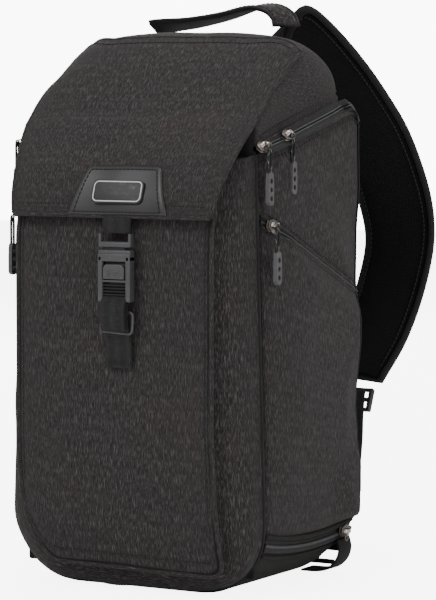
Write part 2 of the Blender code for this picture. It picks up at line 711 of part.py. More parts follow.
def side_hardware(side, word):
    """Everything on one side: door, pocket, zips, sliders and pulls."""
    side_door(f"side_door_{word}", side)
    door_zip(f"door_zip_{word}", side)
    side_pocket(f"side_pocket_{word}", side)
    pocket_zip(f"pocket_zip_{word}", side)
    side_band(f"side_band_{word}", side)
    base_zip(f"base_zip_{word}", side)

    lift = math.atan(ZIP_SLOPE)
    along = (0, math.cos(lift), math.sin(lift))
    normal = (0, -math.sin(lift), math.cos(lift))
    for letter, y in zip("ab", UPPER_SLIDERS_Y):
        top = zip_height(y) - 4 * MM + 2 * GAP + TAPE
        slider(f"slider_{word}_{letter}", (side * UPPER_SLIDER_X, y, top), along, normal)
        pull(f"{word}_{letter}", (side * UPPER_PULL_X, y, top + 1.5 * MM))

    lift = math.atan(POCKET_ZIP_SLOPE)
    along = (0, math.cos(lift), math.sin(lift))
    y = POCKET_SLIDER_Y
    z = pocket_zip_height(y)
    face = DOOR_OUTER_X + 2 * GAP + TAPE
    slider(f"slider_{word}_c", (side * face, y, z), along, (side, 0, 0))
    pull(f"{word}_c", (side * (face + SLIDER_HIGH + 1.4 * MM), y, z))

    face = base_curve(BASE_ZIP_Z) + 2 * GAP + TAPE
    slider(f"slider_{word}_d", (side * (face + 0.1 * MM), BASE_SLIDER_Y, BASE_ZIP_Z), (0, 1, 0), (side, 0, 0))


def main():
    clear_scene()
    top_hood()
    crown_cover()
    base_panel()
    front_wall()
    back_panel()
    divider("divider_lower", 0.140)
    divider("divider_upper", 0.236)
    front_pocket()
    front_flap()
    before = set(bpy.data.objects)
    for build in (flap_patch, badge_plate, flap_webbing, buckle_tongue, buckle_body, buckle_button, lower_webbing,
                  keeper_ring, sewn_tab):
        build()
    for item in set(bpy.data.objects) - before:
        item.location.x += FASTENER_X
    grab_handle()
    sling_strap()
    strap_adjuster()
    strap_webbing()
    strap_anchor()
    base_loop()
    for side, word in ((1, "right"), (-1, "left")):
        side_hardware(side, word)


main()
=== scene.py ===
"""Visual model of a camera sling bag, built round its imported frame.

Shapes are worked out in millimetres in the frame's axes (+Z up, front towards -Y, +X to the right)
and stored in metres. Each sub-assembly is a class that holds its sizes and builds its own pieces.
"""

import logging
import math
from dataclasses import dataclass, field
from enum import Enum
from typing import Callable, Iterable, Optional, Sequence

import bmesh
import bpy
from mathutils import Matrix, Vector, noise


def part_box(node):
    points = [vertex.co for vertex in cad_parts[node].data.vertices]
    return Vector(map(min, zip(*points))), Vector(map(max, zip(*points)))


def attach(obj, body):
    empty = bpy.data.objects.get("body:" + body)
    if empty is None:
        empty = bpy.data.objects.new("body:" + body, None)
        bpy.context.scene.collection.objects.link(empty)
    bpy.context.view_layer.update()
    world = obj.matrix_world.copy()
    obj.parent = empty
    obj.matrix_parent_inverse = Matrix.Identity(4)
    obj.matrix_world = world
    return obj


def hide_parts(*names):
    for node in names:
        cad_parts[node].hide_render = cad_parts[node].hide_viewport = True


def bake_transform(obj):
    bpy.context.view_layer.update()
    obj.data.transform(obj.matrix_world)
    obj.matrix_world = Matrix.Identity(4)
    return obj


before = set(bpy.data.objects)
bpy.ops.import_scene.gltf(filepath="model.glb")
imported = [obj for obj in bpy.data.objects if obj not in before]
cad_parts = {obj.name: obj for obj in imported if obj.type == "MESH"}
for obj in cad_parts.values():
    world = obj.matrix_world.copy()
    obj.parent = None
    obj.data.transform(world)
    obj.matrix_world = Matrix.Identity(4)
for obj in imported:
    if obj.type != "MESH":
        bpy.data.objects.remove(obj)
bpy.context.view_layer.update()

MM = 0.001
RGB = tuple[float, float, float]
Place = Callable[[float, float], Vector]
Marks = tuple[tuple[float, float], ...]
LOG = logging.getLogger("sling_bag")


class Side(Enum):
    """The bag's two sides, as the sign of X."""

    RIGHT = 1
    LEFT = -1

    @property
    def word(self) -> str:
        """Return the side's name as the frame's nodes use it."""
        return self.name.lower()


class Slot(Enum):
    """Material slots of the record."""

    HEATHER = "heather_fabric"
    NYLON = "black_nylon"
    MESH = "spacer_mesh"
    FOAM = "divider_foam"
    WEBBING = "webbing"
    CORD = "pull_cord"
    PLASTIC = "moulded_plastic"
    LEATHER = "leatherette"
    NICKEL = "antique_nickel"
    RUBBER = "grip_rubber"


# ---------------------------------------------------------------- shader graphs


class Graph:
    """Adds nodes to a shader tree and joins them."""

    def __init__(self, tree: bpy.types.NodeTree) -> None:
        """Keep the tree that nodes go into.

        Args:
            tree: A material's tree or a group's.
        """
        self.tree = tree

    def add(self, kind: str, **settings: object) -> bpy.types.Node:
        """Add a node and give it settings.

        Args:
            kind: The node's type name without the ShaderNode prefix.
            settings: Properties of the node.

        Returns:
            The new node.
        """
        made = self.tree.nodes.new(f"ShaderNode{kind}")
        for key, value in settings.items():
            setattr(made, key, value)
        return made

    def link(self, source: bpy.types.NodeSocket, target: bpy.types.NodeSocket) -> None:
        """Join an output to an input."""
        self.tree.links.new(source, target)

    def math(self, operation: str, first: object, second: object = 0.0) -> bpy.types.NodeSocket:
        """Add a maths node.

        Args:
            operation: The node's operation.
            first: A socket or a number.
            second: A socket or a number.

        Returns:
            The result's socket.
        """
        made = self.add("Math", operation=operation)
        for slot, value in zip(made.inputs, (first, second)):
            if isinstance(value, bpy.types.NodeSocket):
                self.link(value, slot)
            else:
                slot.default_value = value
        return made.outputs[0]

    def mix(self, mask: object, first: object, second: object) -> bpy.types.NodeSocket:
        """Mix two colours.

        Args:
            mask: A socket or a number from 0 to 1.
            first: A colour or a socket, shown where the mask is 0.
            second: A colour or a socket, shown where the mask is 1.

        Returns:
            The mixed colour's socket.
        """
        made = self.add("Mix", data_type="RGBA")
        for index, value in ((0, mask), (6, first), (7, second)):
            if isinstance(value, bpy.types.NodeSocket):
                self.link(value, made.inputs[index])
            elif index:
                made.inputs[index].default_value = (*value, 1.0)
            else:
                made.inputs[index].default_value = value
        return made.outputs[2]

    def spread(self, value: bpy.types.NodeSocket, low: float, high: float, start: float = 0.0,
               stop: float = 1.0) -> bpy.types.NodeSocket:
        """Stretch part of a value's range onto another range.

        Args:
            value: The socket to stretch.
            low: Value that becomes start.
            high: Value that becomes stop.
            start: Lower result.
            stop: Upper result.

        Returns:
            The stretched value's socket.
        """
        made = self.add("MapRange")
        self.link(value, made.inputs[0])
        for index, number in ((1, low), (2, high), (3, start), (4, stop)):
            made.inputs[index].default_value = number
        return made.outputs[0]

    def group(self, tree: bpy.types.NodeTree, **values: object) -> bpy.types.Node:
        """Place a node group.

        Args:
            tree: The group.
            values: Inputs by name with underscores for spaces, each a socket, number or colour.

        Returns:
            The group's node.
        """
        made = self.add("Group", node_tree=tree)
        for key, value in values.items():
            slot = made.inputs[key.replace("_", " ")]
            if isinstance(value, bpy.types.NodeSocket):
                self.link(value, slot)
            else:
                slot.default_value = value
        return made


def new_group(name: str, inputs: dict[str, str], outputs: dict[str, str]) -> tuple[Graph, bpy.types.Node,
                                                                                     bpy.types.Node]:
    """Make an empty shader group.

    Args:
        name: The group's name.
        inputs: Socket names and their types.
        outputs: Socket names and their types.

    Returns:
        The group's graph, its input node and its output node.
    """
    tree = bpy.data.node_groups.new(name, "ShaderNodeTree")
    for direction, sockets in (("INPUT", inputs), ("OUTPUT", outputs)):
        for label, kind in sockets.items():
            tree.interface.new_socket(label, in_out=direction, socket_type=f"NodeSocket{kind}")
    return Graph(tree), tree.nodes.new("NodeGroupInput"), tree.nodes.new("NodeGroupOutput")


def streak_group() -> bpy.types.NodeTree:
    """Return the group for thick and thin threads that show as short streaks along the cloth."""
    graph, given, made = new_group("slub_streaks", {"Vector": "Vector", "Width": "Float", "Length": "Float",
                                                    "Seed": "Float", "Low": "Float", "High": "Float"},
                                   {"Mask": "Float"})
    scale = graph.add("CombineXYZ")
    graph.link(graph.math("DIVIDE", 1.0, given.outputs["Width"]), scale.inputs[0])
    graph.link(graph.math("DIVIDE", 1.0, given.outputs["Length"]), scale.inputs[1])
    shift = graph.add("CombineXYZ")
    graph.link(given.outputs["Seed"], shift.inputs[0])
    graph.link(given.outputs["Seed"], shift.inputs[2])
    place = graph.add("VectorMath", operation="MULTIPLY_ADD")
    graph.link(given.outputs["Vector"], place.inputs[0])
    graph.link(scale.outputs[0], place.inputs[1])
    graph.link(shift.outputs[0], place.inputs[2])
    threads = graph.add("TexNoise")
    threads.inputs["Scale"].default_value = 1.0
    threads.inputs["Detail"].default_value = 2.0
    threads.inputs["Roughness"].default_value = 0.55
    graph.link(place.outputs[0], threads.inputs["Vector"])
    ramp = graph.add("MapRange", interpolation_type="SMOOTHSTEP")
    graph.link(threads.outputs["Fac"], ramp.inputs[0])
    graph.link(given.outputs["Low"], ramp.inputs[1])
    graph.link(given.outputs["High"], ramp.inputs[2])
    graph.link(ramp.outputs[0], made.inputs["Mask"])
    return graph.tree


def weave_group() -> bpy.types.NodeTree:
    """Return the group for a plain weave: threads that pass over and under each other."""
    graph, given, made = new_group("plain_weave", {"Vector": "Vector", "Pitch": "Float"}, {"Height": "Float"})
    parts = graph.add("SeparateXYZ")
    graph.link(given.outputs["Vector"], parts.inputs[0])
    turns = graph.math("DIVIDE", 2 * math.pi, given.outputs["Pitch"])
    across = graph.math("SINE", graph.math("MULTIPLY", parts.outputs[0], turns))
    along = graph.math("SINE", graph.math("MULTIPLY", parts.outputs[1], turns))
    height = graph.math("MULTIPLY", across, along)
    graph.link(graph.spread(height, -1.0, 1.0), made.inputs["Height"])
    return graph.tree


def drift_group() -> bpy.types.NodeTree:
    """Return the group for slow changes over a surface, such as fading or rubbing."""
    graph, given, made = new_group("slow_drift", {"Vector": "Vector", "Scale": "Float", "Contrast": "Float"},
                                   {"Mask": "Float"})
    cloud = graph.add("TexNoise")
    cloud.inputs["Detail"].default_value = 3.0
    graph.link(given.outputs["Vector"], cloud.inputs["Vector"])
    graph.link(given.outputs["Scale"], cloud.inputs["Scale"])
    centred = graph.math("SUBTRACT", cloud.outputs["Fac"], 0.5)
    scaled = graph.math("MULTIPLY", centred, given.outputs["Contrast"])
    moved = graph.add("Math", operation="ADD", use_clamp=True)
    graph.link(scaled, moved.inputs[0])
    moved.inputs[1].default_value = 0.5
    graph.link(moved.outputs[0], made.inputs["Mask"])
    return graph.tree


def wear_group() -> bpy.types.NodeTree:
    """Return the group for fine scuffs on hard parts."""
    graph, given, made = new_group("fine_wear", {"Vector": "Vector", "Scale": "Float"},
                                   {"Mask": "Float", "Grain": "Float"})
    scuffs = graph.add("TexNoise")
    scuffs.inputs["Detail"].default_value = 5.0
    scuffs.inputs["Roughness"].default_value = 0.7
    graph.link(given.outputs["Vector"], scuffs.inputs["Vector"])
    graph.link(given.outputs["Scale"], scuffs.inputs["Scale"])
    grain = graph.add("TexVoronoi")
    graph.link(given.outputs["Vector"], grain.inputs["Vector"])
    graph.link(graph.math("MULTIPLY", given.outputs["Scale"], 14.0), grain.inputs["Scale"])
    graph.link(graph.spread(scuffs.outputs["Fac"], 0.52, 0.72), made.inputs["Mask"])
    graph.link(grain.outputs["Distance"], made.inputs["Grain"])
    return graph.tree


class Effects:
    """The shared shader groups, each built once."""

    streaks: bpy.types.NodeTree
    weave: bpy.types.NodeTree
    drift: bpy.types.NodeTree
    wear: bpy.types.NodeTree

    @classmethod
    def build(cls) -> None:
        """Build every shared group."""
        cls.streaks = streak_group()
        cls.weave = weave_group()
        cls.drift = drift_group()
        cls.wear = wear_group()


# ---------------------------------------------------------------- finishes


@dataclass(frozen=True)
class Finish:
    """A surface finish, with what every material here has."""

    name: str
    slot: Slot
    colour: RGB
    roughness: float = 0.8
    specular: float = 0.5
    sheen: float = 0.0
    metallic: float = 0.0

    def material(self) -> bpy.types.Material:
        """Return the finish's material, made on first use."""
        found = bpy.data.materials.get(self.name)
        if found:
            return found
        made = bpy.data.materials.new(self.name)
        made.use_nodes = True
        shader = made.node_tree.nodes["Principled BSDF"]
        shader.inputs["Roughness"].default_value = self.roughness
        shader.inputs["Specular IOR Level"].default_value = self.specular
        shader.inputs["Sheen Weight"].default_value = self.sheen
        shader.inputs["Sheen Roughness"].default_value = 0.45
        shader.inputs["Metallic"].default_value = self.metallic
        self.paint(Graph(made.node_tree), shader)
        return made

    def paint(self, graph: Graph, shader: bpy.types.Node) -> None:
        """Join the finish's own nodes to the shader.

        Args:
            graph: The material's graph.
            shader: Its Principled node.
        """
        raise NotImplementedError

    @staticmethod
    def raise_surface(graph: Graph, shader: bpy.types.Node, height: bpy.types.NodeSocket, depth: float,
                      strength: float = 1.0) -> None:
        """Bump the surface.

        Args:
            graph: The material's graph.
            shader: Its Principled node.
            height: Height from 0 to 1.
            depth: What a height of 1 stands for, in metres.
            strength: How strongly it shows.
        """
        bump = graph.add("Bump")
        bump.inputs["Distance"].default_value = depth
        bump.inputs["Strength"].default_value = strength
        graph.link(height, bump.inputs["Height"])
        graph.link(bump.outputs[0], shader.inputs["Normal"])


@dataclass(frozen=True)
class Heather(Finish):
    """Matt polyester with light and dark slubs along its warp."""

    thread: RGB = (0.106, 0.101, 0.104)
    shade: RGB = (0.0035, 0.0030, 0.0030)
    warm: RGB = (0.0185, 0.0138, 0.0134)
    slub_width: float = 0.55 * MM
    slub_length: float = 8.0 * MM
    pitch: float = 0.8 * MM

    def paint(self, graph: Graph, shader: bpy.types.Node) -> None:
        """Join slubs, slow warmth and a weave to the shader."""
        cloth = graph.add("TexCoord").outputs["UV"]
        warmth = graph.group(Effects.drift, Vector=cloth, Scale=16.0, Contrast=1.7).outputs[0]
        ground = graph.mix(warmth, self.colour, self.warm)
        dark = graph.group(Effects.streaks, Vector=cloth, Width=self.slub_width * 1.2, Length=self.slub_length * 1.5,
                           Seed=31.0, Low=0.50, High=0.72).outputs[0]
        light = graph.group(Effects.streaks, Vector=cloth, Width=self.slub_width, Length=self.slub_length,
                            Seed=7.0, Low=0.53, High=0.74).outputs[0]
        fine = graph.group(Effects.streaks, Vector=cloth, Width=self.slub_width * 0.7, Length=self.slub_length * 0.45,
                           Seed=57.0, Low=0.45, High=0.80).outputs[0]
        tinted = graph.mix(graph.math("MULTIPLY", dark, 0.75), ground, self.shade)
        tinted = graph.mix(graph.math("MULTIPLY", fine, 0.48), tinted, self.thread)
        tinted = graph.mix(graph.math("MULTIPLY", light, 0.50), tinted, self.thread)
        graph.link(tinted, shader.inputs["Base Color"])
        weave = graph.group(Effects.weave, Vector=cloth, Pitch=self.pitch).outputs[0]
        height = graph.math("ADD", graph.math("MULTIPLY", weave, 0.5), graph.math("MULTIPLY", light, 0.5))
        self.raise_surface(graph, shader, height, 0.22 * MM, 0.8)


@dataclass(frozen=True)
class Woven(Finish):
    """Plain or twill cloth in one dark colour: nylon, lining or binding."""

    pitch: float = 0.6 * MM
    depth: float = 0.15 * MM
    fade: RGB = (0.022, 0.022, 0.024)

    def paint(self, graph: Graph, shader: bpy.types.Node) -> None:
        """Join a weave and slow fading to the shader."""
        cloth = graph.add("TexCoord").outputs["UV"]
        fading = graph.group(Effects.drift, Vector=cloth, Scale=30.0, Contrast=2.0).outputs[0]
        threads = graph.group(Effects.streaks, Vector=cloth, Width=self.pitch, Length=self.pitch * 5, Seed=3.0,
                              Low=0.4, High=0.8).outputs[0]
        colour = graph.mix(graph.math("MULTIPLY", fading, 0.6), self.colour, self.fade)
        graph.link(graph.mix(graph.math("MULTIPLY", threads, 0.35), colour, self.fade), shader.inputs["Base Color"])
        weave = graph.group(Effects.weave, Vector=cloth, Pitch=self.pitch).outputs[0]
        self.raise_surface(graph, shader, graph.math("ADD", weave, threads), self.depth)


@dataclass(frozen=True)
class SpacerMesh(Finish):
    """Open knit mesh over foam: a field of small dark holes."""

    hole: float = 2.2 * MM

    def paint(self, graph: Graph, shader: bpy.types.Node) -> None:
        """Join the holes and a slow fade to the shader."""
        cloth = graph.add("TexCoord").outputs["UV"]
        holes = graph.add("TexVoronoi")
        holes.inputs["Scale"].default_value = 1.0 / self.hole
        holes.inputs["Randomness"].default_value = 0.15
        graph.link(cloth, holes.inputs["Vector"])
        rim = graph.spread(holes.outputs["Distance"], 0.18, 0.55)
        fading = graph.group(Effects.drift, Vector=cloth, Scale=22.0, Contrast=1.6).outputs[0]
        knit = graph.mix(fading, self.colour, tuple(c * 1.9 for c in self.colour))
        # The holes are painted near black, darker than the knit: partly the foam seen through them, partly painted
        # shade in the holes.
        graph.link(graph.mix(rim, (0.002, 0.002, 0.002), knit), shader.inputs["Base Color"])
        self.raise_surface(graph, shader, rim, 0.35 * MM, 0.9)


@dataclass(frozen=True)
class Ribbed(Finish):
    """Webbing: fine ribs along its length, crossed by the weft."""

    rib: float = 1.7 * MM
    weft: float = 1.1 * MM
    light: RGB = (0.032, 0.030, 0.030)

    def paint(self, graph: Graph, shader: bpy.types.Node) -> None:
        """Join ribs, weft, painted shade in their grooves and stray light threads to the shader."""
        cloth = graph.add("TexCoord").outputs["UV"]
        parts = graph.add("SeparateXYZ")
        graph.link(cloth, parts.inputs[0])
        ribs = graph.math("SINE", graph.math("MULTIPLY", parts.outputs[0], 2 * math.pi / self.rib))
        weft = graph.math("SINE", graph.math("MULTIPLY", parts.outputs[1], 2 * math.pi / self.weft))
        height = graph.math("ADD", graph.math("MULTIPLY", ribs, 0.35), graph.math("MULTIPLY", weft, 0.2))
        height = graph.math("ADD", height, 0.5)
        stray = graph.group(Effects.streaks, Vector=cloth, Width=0.5 * MM, Length=3 * MM, Seed=13.0, Low=0.50,
                            High=0.80).outputs[0]
        # Darker where the ribs and weft dip: painted shade in the grooves.
        dark = tuple(c * 0.45 for c in self.colour)
        tone = graph.mix(height, dark, self.colour)
        graph.link(graph.mix(graph.math("MULTIPLY", stray, 0.5), tone, self.light), shader.inputs["Base Color"])
        self.raise_surface(graph, shader, height, 0.3 * MM)


@dataclass(frozen=True)
class Braid(Finish):
    """Round cord: a dark braid with pale flecks."""

    fleck: RGB = (0.35, 0.35, 0.35)

    def paint(self, graph: Graph, shader: bpy.types.Node) -> None:
        """Join the braid's crossing strands, painted shade where they dip, and flecks to the shader."""
        cloth = graph.add("TexCoord").outputs["UV"]
        turned = graph.add("Mapping")
        turned.inputs["Rotation"].default_value = (0.0, 0.0, math.radians(38))
        graph.link(cloth, turned.inputs["Vector"])
        strands = graph.group(Effects.weave, Vector=turned.outputs[0], Pitch=1.1 * MM).outputs[0]
        flecks = graph.group(Effects.streaks, Vector=turned.outputs[0], Width=0.6 * MM, Length=0.9 * MM, Seed=5.0,
                             Low=0.60, High=0.68).outputs[0]
        # Darker where the strands dip under each other: painted shade between the strands.
        tone = graph.mix(strands, tuple(c * 0.4 for c in self.colour), self.colour)
        graph.link(graph.mix(flecks, tone, self.fleck), shader.inputs["Base Color"])
        self.raise_surface(graph, shader, strands, 0.25 * MM)


@dataclass(frozen=True)
class Hard(Finish):
    """Moulded or cast part: fine grain, with scuffs that catch the light."""

    rubbed: RGB = (0.2, 0.2, 0.2)
    scuff_scale: float = 180.0
    grain_depth: float = 0.03 * MM
    scuff_gloss: float = 0.12

    def paint(self, graph: Graph, shader: bpy.types.Node) -> None:
        """Join grain, scuffs and changing gloss to the shader."""
        place = graph.add("TexCoord").outputs["Object"]
        wear = graph.group(Effects.wear, Vector=place, Scale=self.scuff_scale)
        tone = graph.group(Effects.drift, Vector=place, Scale=60.0, Contrast=1.5).outputs[0]
        base = graph.mix(tone, tuple(c * 0.82 for c in self.colour), self.colour)
        amount = graph.math("MULTIPLY", wear.outputs["Mask"], 0.45)
        graph.link(graph.mix(amount, base, self.rubbed), shader.inputs["Base Color"])
        gloss = graph.math("SUBTRACT", self.roughness + self.scuff_gloss,
                           graph.math("MULTIPLY", wear.outputs["Mask"], self.scuff_gloss * 1.5))
        graph.link(gloss, shader.inputs["Roughness"])
        self.raise_surface(graph, shader, wear.outputs["Grain"], self.grain_depth)


@dataclass(frozen=True)
class Grained(Finish):
    """Leatherette: small pebbles with a satin coat."""

    pebble: float = 1.0 * MM

    def paint(self, graph: Graph, shader: bpy.types.Node) -> None:
        """Join pebbles, painted shade in their creases and slow toning to the shader."""
        place = graph.add("TexCoord").outputs["UV"]
        pebbles = graph.add("TexVoronoi")
        pebbles.inputs["Scale"].default_value = 1.0 / self.pebble
        graph.link(place, pebbles.inputs["Vector"])
        tone = graph.group(Effects.drift, Vector=place, Scale=40.0, Contrast=1.6).outputs[0]
        colour = graph.mix(tone, tuple(c * 0.8 for c in self.colour), self.colour)
        # Darker towards each pebble's rim: painted shade in the creases between pebbles.
        creases = graph.spread(pebbles.outputs["Distance"], 0.0, 0.8)
        graph.link(graph.mix(creases, colour, tuple(c * 0.75 for c in self.colour)), shader.inputs["Base Color"])
        self.raise_surface(graph, shader, graph.math("SUBTRACT", 1.0, creases), 0.10 * MM, 0.5)


@dataclass(frozen=True)
class Painted(Finish):
    """Plain painted floor that glows where the camera sees it directly."""

    def paint(self, graph: Graph, shader: bpy.types.Node) -> None:
        """Join a faint cloud to the shader."""
        place = graph.add("TexCoord").outputs["Object"]
        cloud = graph.group(Effects.drift, Vector=place, Scale=1.5, Contrast=0.4).outputs[0]
        tone = graph.mix(cloud, tuple(c * 0.99 for c in self.colour), self.colour)
        graph.link(tone, shader.inputs["Base Color"])
        seen = graph.add("LightPath").outputs["Is Camera Ray"]
        shader.inputs["Emission Color"].default_value = (1.0, 1.0, 1.0, 1.0)
        graph.link(graph.math("MULTIPLY", seen, 6.0), shader.inputs["Emission Strength"])


HEATHER = Heather("heather_charcoal", Slot.HEATHER, (0.0138, 0.0126, 0.0131), 0.95, 0.15, 0.03)
# Darker copy of the heather for the base shell and its seams: painted shade on the underside.
HEATHER_SHADED = Heather("heather_shadow", Slot.HEATHER, (0.0110, 0.0108, 0.0105), 0.95, 0.12, 0.02,
                       thread=(0.040, 0.038, 0.037), warm=(0.013, 0.0115, 0.010))
NYLON = Woven("nylon_black", Slot.NYLON, (0.0045, 0.0045, 0.0050), 0.88, 0.2, 0.01, fade=(0.010, 0.010, 0.011))
LINING = Woven("lining_grey", Slot.NYLON, (0.075, 0.075, 0.080), 0.9, 0.3, 0.10, fade=(0.11, 0.11, 0.115))
BINDING = Woven("binding_dark", Slot.NYLON, (0.008, 0.0076, 0.0076), 0.9, 0.2, 0.03, pitch=0.9 * MM,
                fade=(0.018, 0.017, 0.017))
TAPE = Woven("zip_tape", Slot.NYLON, (0.006, 0.006, 0.0065), 0.82, 0.3, 0.02, pitch=0.8 * MM,
             fade=(0.013, 0.013, 0.014))
FOAM = Woven("divider_loop_knit", Slot.FOAM, (0.085, 0.085, 0.092), 0.95, 0.2, 0.35, pitch=1.4 * MM,
             depth=0.3 * MM, fade=(0.12, 0.12, 0.13))
MESH = SpacerMesh("spacer_mesh_black", Slot.MESH, (0.0042, 0.0042, 0.0042), 0.96, 0.12, 0.01)
WEBBING = Ribbed("webbing_charcoal", Slot.WEBBING, (0.0125, 0.0120, 0.0120), 0.85, 0.25, 0.02)
CORD = Braid("pull_braid", Slot.CORD, (0.008, 0.008, 0.008), 0.8, 0.3, 0.02)
PLASTIC = Hard("moulded_grey", Slot.PLASTIC, (0.032, 0.032, 0.034), 0.40, 0.45, rubbed=(0.055, 0.055, 0.057))
PLASTIC_DARK = Hard("moulded_dark", Slot.PLASTIC, (0.007, 0.007, 0.0075), 0.42, 0.4, rubbed=(0.02, 0.02, 0.02))
PLATE_EDGE = Hard("plate_edge", Slot.PLASTIC, (0.42, 0.42, 0.42), 0.35, 0.5, rubbed=(0.7, 0.7, 0.7))
NICKEL = Hard("antique_nickel_plate", Slot.NICKEL, (0.115, 0.098, 0.090), 0.30, 0.5, metallic=1.0,
              rubbed=(0.34, 0.30, 0.27), scuff_scale=260.0, grain_depth=0.05 * MM)
# Brighter, glossier copy of the antique nickel for the sliders' bridges and arms: painted highlight.
NICKEL_HIGHLIGHT = Hard("polished_nickel", Slot.NICKEL, (0.42, 0.38, 0.345), 0.18, 0.5, metallic=1.0,
                     rubbed=(0.70, 0.64, 0.59), scuff_scale=260.0, grain_depth=0.03 * MM)
RUBBER = Hard("grip_rubber_grey", Slot.RUBBER, (0.052, 0.052, 0.053), 0.58, 0.4, rubbed=(0.085, 0.085, 0.085),
              grain_depth=0.06 * MM)
LEATHER = Grained("leatherette_grey", Slot.LEATHER, (0.0118, 0.0114, 0.0120), 0.42, 0.42)
THREAD = Woven("stitch_thread", Slot.NYLON, (0.0065, 0.0062, 0.0062), 0.75, 0.3, 0.02, pitch=0.4 * MM,
               fade=(0.014, 0.0135, 0.0135))
COIL = Hard("zip_coil", Slot.NYLON, (0.014, 0.014, 0.015), 0.38, 0.5, rubbed=(0.03, 0.03, 0.03))
FLOOR = Painted("studio_floor", Slot.NYLON, (0.95, 0.95, 0.95), 0.75, 0.2)


# ---------------------------------------------------------------- shaping helpers


def clamp(value: float, low: float = 0.0, high: float = 1.0) -> float:
    """Return the value kept between two limits."""
    return max(low, min(high, value))


def ease(value: float, low: float, high: float) -> float:
    """Return 0 below low, 1 above high and a smooth rise between."""
    part = clamp((value - low) / (high - low))
    return part * part * (3 - 2 * part)


def table(marks: Marks, value: float) -> float:
    """Return the smooth value between the nearest two of a table's rows."""
    for (low, first), (high, second) in zip(marks, marks[1:]):
        if value <= high:
            return first + (second - first) * ease(value, low, high)
    return marks[-1][1]


def smooth_path(points: Sequence[Sequence[float]], steps: int) -> list[Vector]:
    """Draw a smooth curve through some points.

    Args:
        points: The points it passes through.
        steps: How many pieces each stretch is cut into.

    Returns:
        The curve's points.
    """
    knots = [Vector(p) for p in points]
    knots = [2 * knots[0] - knots[1], *knots, 2 * knots[-1] - knots[-2]]
    path = []
    for a, b, c, d in zip(knots, knots[1:], knots[2:], knots[3:]):
        for i in range(steps):
            t = i / steps
            path.append(0.5 * (2 * b + (c - a) * t + (2 * a - 5 * b + 4 * c - d) * t ** 2
                               + (3 * b - a - 3 * c + d) * t ** 3))
    return path + [knots[-2]]


def even_path(points: Sequence[Sequence[float]], count: int) -> list[Vector]:
    """Space points evenly along a line.

    Args:
        points: The line's points.
        count: How many points the result has.

    Returns:
        The evenly spaced points.
    """
    line = [Vector(p) for p in points]
    runs = [0.0]
    for a, b in zip(line, line[1:]):
        runs.append(runs[-1] + (b - a).length)
    path, index = [], 0
    for i in range(count):
        want = runs[-1] * i / (count - 1)
        while index < len(line) - 2 and runs[index + 1] < want:
            index += 1
        gap = runs[index + 1] - runs[index]
        path.append(line[index].lerp(line[index + 1], clamp((want - runs[index]) / gap) if gap else 0.0))
    return path


def cubic(points: Sequence[Sequence[float]], count: int) -> list[Vector]:
    """Return evenly stepped points of a cubic Bezier curve."""
    a, b, c, d = (Vector(p) for p in points)
    return [a * (1 - t) ** 3 + b * (3 * t * (1 - t) ** 2) + c * (3 * t * t * (1 - t)) + d * t ** 3
            for t in (i / (count - 1) for i in range(count))]


def ripple(place: Vector, size: float, height: float, seed: float = 0.0) -> float:
    """Return a slow, seeded rise and fall over space.

    Args:
        place: A point in millimetres.
        size: Distance between rises, in millimetres.
        height: Greatest rise, in millimetres.
        seed: Shifts the pattern.

    Returns:
        The rise at that point, in millimetres.
    """
    return height * noise.noise(Vector(place) / size + Vector((seed, seed * 0.7, -seed)))


def rounded_rectangle(width: float, thick: float, corner: float, steps: int = 3) -> list[Vector]:
    """Return the outline of a strap's cross section, going anticlockwise from the right.

    Args:
        width: Full size along the first axis.
        thick: Full size along the second axis.
        corner: Corner radius.
        steps: Pieces in each corner.

    Returns:
        The outline's points.
    """
    outline = []
    for quarter, (a, b) in enumerate(((1, 1), (-1, 1), (-1, -1), (1, -1))):
        for i in range(steps + 1):
            angle = math.pi / 2 * (quarter + i / steps)
            outline.append(Vector((a * (width / 2 - corner) + corner * math.cos(angle),
                                   b * (thick / 2 - corner) + corner * math.sin(angle))))
    return outline


def steady(x: float, y: float, z: float) -> Callable[..., Vector]:
    """Return a direction rule that gives the same direction everywhere."""
    return lambda *_: Vector((x, y, z))


def circle(radius: float, sides: int = 10) -> list[Vector]:
    """Return the points of a round cross section."""
    return [Vector((radius * math.cos(2 * math.pi * i / sides), radius * math.sin(2 * math.pi * i / sides)))
            for i in range(sides)]


